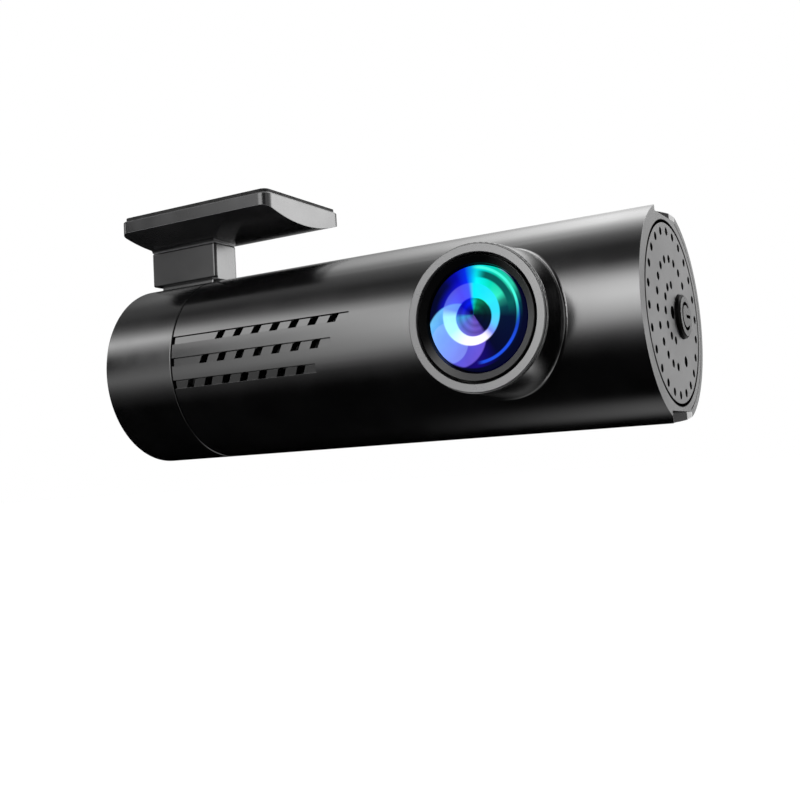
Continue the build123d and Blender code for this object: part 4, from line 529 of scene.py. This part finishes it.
class LensPlane:
    """Soft shapes on the plane of the painted reflections, as masks in a node graph."""

    def __init__(self, graph):
        self.graph = graph
        x, y, z = graph.node("SeparateXYZ", {"Vector": object_place(graph)}).outputs
        depth = graph.math("SUBTRACT", y, bezel_low.y / MM)
        right = graph.math("SUBTRACT", x, LENS_X / MM)
        up = graph.math("SUBTRACT", z, AXIS_Z / MM)
        self.u = graph.math("ADD", right, graph.times(depth, DEPTH_TO_U))
        self.w = graph.math("ADD", up, graph.times(depth, DEPTH_TO_W))
        sideways = graph.math("SUBTRACT", self.u, GLOW_MIDDLE[0])
        upwards = graph.math("SUBTRACT", self.w, GLOW_MIDDLE[1])
        self.clock = graph.math("DEGREES", graph.math("ARCTAN2", sideways, upwards))

    def distance(self, u, w):
        sideways = self.graph.math("SUBTRACT", self.u, u)
        return self.graph.length(sideways, self.graph.math("SUBTRACT", self.w, w))

    def disc(self, u, w, radius, soft):
        return self.graph.ramp(self.distance(u, w), radius + soft, radius - soft)

    def ring(self, u, w, inner, outer, soft):
        hole = self.graph.flip(self.disc(u, w, inner, soft))
        return self.graph.times(self.disc(u, w, outer, soft), hole)

    def sector(self, rise, fall):
        return self.graph.times(self.graph.ramp(self.clock, *rise), self.graph.ramp(self.clock, *fall))


def lens_pupil(graph, plane):
    """Painted reflections in the pupil, with fine rings in it and painted shade in the middle."""
    rings = graph.math("PINGPONG", graph.times(plane.distance(*RINGS_MIDDLE), RINGS_PER_MM), 1.0)
    tint = graph.mix(graph.times(rings, RINGS_COVER), graph.stops(plane.clock, PUPIL_STOPS), BLACK)
    return graph.mix(plane.disc(*PUPIL_SHADE), tint, GLASS_BLACK)


def lens_annulus(graph, plane):
    """Mask for the painted reflection of a bright annulus round the pupil."""
    whole = graph.times(plane.disc(*ANNULUS_OUTSIDE), graph.flip(plane.disc(*ANNULUS_INSIDE)))
    thin = graph.times(plane.sector(*THIN_SECTOR), THIN_LOSS)
    return graph.times(whole, graph.math("SUBTRACT", ANNULUS_COVER, thin))


def lens_glow(graph, plane):
    """The painted coloured reflections, laid one over the other."""
    # Painted reflection of the lens coatings: colour by clock angle, given out as emission.
    coating = graph.stops(plane.clock, COATING_REFLECTION_STOPS)
    weak = graph.mix(GLOW_LOST, coating, (0.0, 0.0, 0.02))
    glow = graph.mix(graph.ramp(plane.distance(*GLOW_MIDDLE), *GLOW_FADE), coating, weak)
    arcs = (
        (plane.ring(*CRESCENT), CRESCENT_SECTOR, (0.0, 0.08, 0.07)),
        (plane.ring(*GREEN_RIM), GREEN_SECTOR, (0.05, 0.8, 0.6)),
        (plane.ring(*BLUE_RIM), BLUE_SECTOR, (0.01, 0.06, 0.6)),
        (plane.disc(*BLUE_HEART), HEART_SECTOR, (0.005, 0.005, 0.72)),
    )
    for shape, sector, colour in arcs:
        glow = graph.mix(graph.times(plane.sector(*sector), shape), glow, colour)
    slope = graph.math("SUBTRACT", plane.u, graph.times(plane.w, PALE_SLOPE))
    pale = graph.stops(slope, PALE_STOPS)
    glass_edge = graph.ramp(plane.distance(*GLASS_MIDDLE), *GLASS_EDGE)
    # Painted highlight: a thin pale arc near the top of the glass.
    hairline = graph.times(plane.sector(*HAIRLINE_SECTOR), plane.ring(*HAIRLINE))
    layers = (
        (graph.times(plane.disc(*PALE_DISC), PALE_COVER), pale),
        (graph.times(plane.disc(*SMALL_DISC), SMALL_COVER), (0.35, 0.5, 1.0)),
        (lens_annulus(graph, plane), graph.stops(plane.clock, ANNULUS_STOPS)),
        (plane.disc(*PUPIL), lens_pupil(graph, plane)),
        (glass_edge, GLASS_BLACK),
        (graph.times(hairline, HAIRLINE_COVER), (0.3, 0.5, 0.8)),
    )
    for mask, colour in layers:
        glow = graph.mix(mask, glow, colour)
    return glow


def lens_glass(name):
    """Front glass: a dark glossy dome with its coatings' coloured reflections painted on as emission."""
    material, graph, shader, _ = new_surface(name)
    glow = lens_glow(graph, LensPlane(graph))
    smear = graph.noise(object_place(graph), 0.25, detail=4.0, roughness=0.6)
    glow = graph.mix(graph.ramp(smear, 0.35, 0.9, 0.0, 0.2), glow, (0.0, 0.0, 0.03))
    shader.inputs["Base Color"].default_value = (0.002, 0.003, 0.006, 1)
    graph.put(shader.inputs["Roughness"], graph.ramp(smear, 0.3, 0.8, 0.02, 0.06))
    graph.put(shader.inputs["Emission Color"], glow)
    shader.inputs["Emission Strength"].default_value = LENS_GLOW
    shader.inputs["Specular IOR Level"].default_value = LENS_SHINE
    shader.inputs["IOR"].default_value = LENS_IOR
    return material


# ---------------------------------------------------------------- places painted black and shineless: painted shade, and the button's symbol
def blacken(material, mask_of):
    """Makes a moulded surface black and shineless where mask_of(graph, x, y, z) is 1."""
    graph = Graph(material.node_tree, keep=True)
    shader = next(n for n in graph.tree.nodes if n.type == "BSDF_PRINCIPLED")
    mask = mask_of(graph, *graph.node("SeparateXYZ", {"Vector": object_place(graph)}).outputs)
    face = shader.inputs["Base Color"].links[0].from_socket
    graph.put(shader.inputs["Base Color"], graph.mix(mask, face, (0.0005, 0.0005, 0.0005)))
    gloss = shader.inputs["Specular IOR Level"].links[0].from_socket
    graph.put(shader.inputs["Specular IOR Level"], graph.times(gloss, graph.flip(mask)))
    return material


# Spans of depth under a piece's outer face, mm.
CAP_HOLE_DEPTH = (0.06, 0.1)
SYMBOL_DEPTH = (0.01, 0.03)
BUTTON_SIDE_DEPTH = (0.05, 0.12)
# How much of the button's side is painted shade.
BUTTON_SIDE_SHADE = 0.82
SEAT_DEPTH = (6, 5)
NOTCH_DEPTH = (0.01, 0.03)
# Spans of distance from the tube's axis, mm.
SEAT_R = (13.0, 12.85)
NOTCH_R = (14.93, 14.88)
# How strong the painted shade in the rim's notches is.
NOTCH_SHADE = 0.55
# Span across the hood, from its lower right to its upper left, mm.
HOOD_SHADE_SPAN = (1.0, -6.0)
HOOD_SHADE = 0.95


def under_face(graph, x, high, start, end, out_start=0.0, out_end=1.0):
    """Goes from out_start to out_end over a span of depth under the face at high."""
    return graph.ramp(x, high.x / MM - start, high.x / MM - end, out_start, out_end)


def cap_hole_shade(graph, x, y, z):
    """Mask of painted shade for the insides of the end cap's holes."""
    return under_face(graph, x, cap_high, *CAP_HOLE_DEPTH)


def button_symbol_and_side_shade(graph, x, y, z):
    """Mask for the button's engraved symbol, and, as painted shade, most of the way for its side."""
    symbol = under_face(graph, x, button_high, *SYMBOL_DEPTH)
    side = under_face(graph, x, button_high, *BUTTON_SIDE_DEPTH, 1.0, BUTTON_SIDE_SHADE)
    return graph.times(symbol, side)


def cap_seat_shade(graph, x, y, z):
    """Mask of painted shade on the tube's wall round the end cap, full inside and half in the rim's
    notches.
    """
    out = graph.length(y, graph.math("SUBTRACT", z, AXIS_Z / MM))
    near_end = under_face(graph, x, housing_high, *SEAT_DEPTH)
    inside = graph.times(graph.ramp(out, *SEAT_R), near_end)
    below_rim = under_face(graph, x, housing_high, *NOTCH_DEPTH)
    notches = graph.times(graph.ramp(out, *NOTCH_R), below_rim, near_end, NOTCH_SHADE)
    return graph.math("MAXIMUM", inside, notches)


def hood_shade(graph, x, y, z):
    """Mask for the upper left of the lens hood, which the bezel's edge keeps dark."""
    across = graph.math("SUBTRACT", x, LENS_X / MM)
    up = graph.math("SUBTRACT", z, AXIS_Z / MM)
    return graph.ramp(graph.math("SUBTRACT", across, up), *HOOD_SHADE_SPAN, 0.0, HOOD_SHADE)


# ---------------------------------------------------------------- surface of each material slot
SURFACES = {
    "housing_black": blacken(
        moulded("housing_black", (0.0018, 0.0018, 0.002), 0.18, depth=0.0012), cap_seat_shade
    ),
    # The bracket's edges are lightened far past wear, as a painted highlight along them.
    "bracket_black": moulded(
        "bracket_black", (0.011, 0.011, 0.0115), 0.2, depth=0.0008, specular=0.26, wear_and_highlight=20,
        soften=0.14,
    ),
    "foam_tape": cellular("foam_tape", (0.006, 0.006, 0.006)),
    "liner_film": film("liner_film", (0.5, 0.02, 0.02)),
    "cap_black": blacken(
        moulded("cap_black", (0.016, 0.016, 0.0165), 0.3, depth=0.008, specular=0.18), cap_hole_shade
    ),
    "button_black": blacken(
        moulded("button_black", (0.01, 0.01, 0.0105), 0.26, specular=0.12), button_symbol_and_side_shade
    ),
    "bezel_black": moulded("bezel_black", (0.03, 0.03, 0.031), 0.26, depth=0.002),
    "hood_black": blacken(
        moulded("hood_black", (0.004, 0.004, 0.004), 0.4, depth=0.004, specular=0.3), hood_shade
    ),
    "lens_metal": metal("lens_metal", (0.03, 0.03, 0.03), 0.4),
    "lens_glass": lens_glass("lens_glass"),
    "filter_glass": clear("filter_glass", (0.5, 0.75, 0.85)),
    "rubber_black": cellular("rubber_black", (0.01, 0.01, 0.01), cell=8.0, depth=0.01, roughness=0.6),
    "thermal_grey": cellular("thermal_grey", (0.3, 0.32, 0.35), cell=3.0, depth=0.03, roughness=0.7),
    "frame_plastic": moulded("frame_plastic", (0.03, 0.03, 0.03), 0.45, depth=0.01),
    "mesh_black": woven("mesh_black", (0.004, 0.004, 0.004)),
    "circuit_board": board("circuit_board"),
    "chip_black": moulded("chip_black", (0.02, 0.02, 0.02), 0.5, depth=0.008),
    "shield_steel": metal("shield_steel", (0.6, 0.6, 0.6), 0.3),
    "plunger_white": moulded("plunger_white", (0.7, 0.7, 0.67), 0.4),
    "washer_nylon": moulded("washer_nylon", (0.65, 0.62, 0.55), 0.45),
    "screw_steel": metal("screw_steel", (0.45, 0.45, 0.45), 0.35),
    "sink_aluminium": metal("sink_aluminium", (0.03, 0.03, 0.03), 0.45, stretch=(8.0, 1.0, 1.0)),
    "capacitor_sleeve": film("capacitor_sleeve", (0.03, 0.06, 0.18)),
    "card_black": moulded("card_black", (0.012, 0.012, 0.012), 0.4),
    "light_guide": clear("light_guide", (0.9, 0.9, 0.9)),
    "icon_blue": film("icon_blue", (0.01, 0.16, 0.85), glow=0.7),
    "icon_red": film("icon_red", (0.7, 0.01, 0.03), glow=0.7),
    "flex_film": film("flex_film", (0.45, 0.18, 0.03)),
}
for subpart in frame["record"]["subparts"]:
    mesh = nodes[subpart["node"]].data
    mesh.materials.clear()
    mesh.materials.append(SURFACES[subpart["material_slot"]])
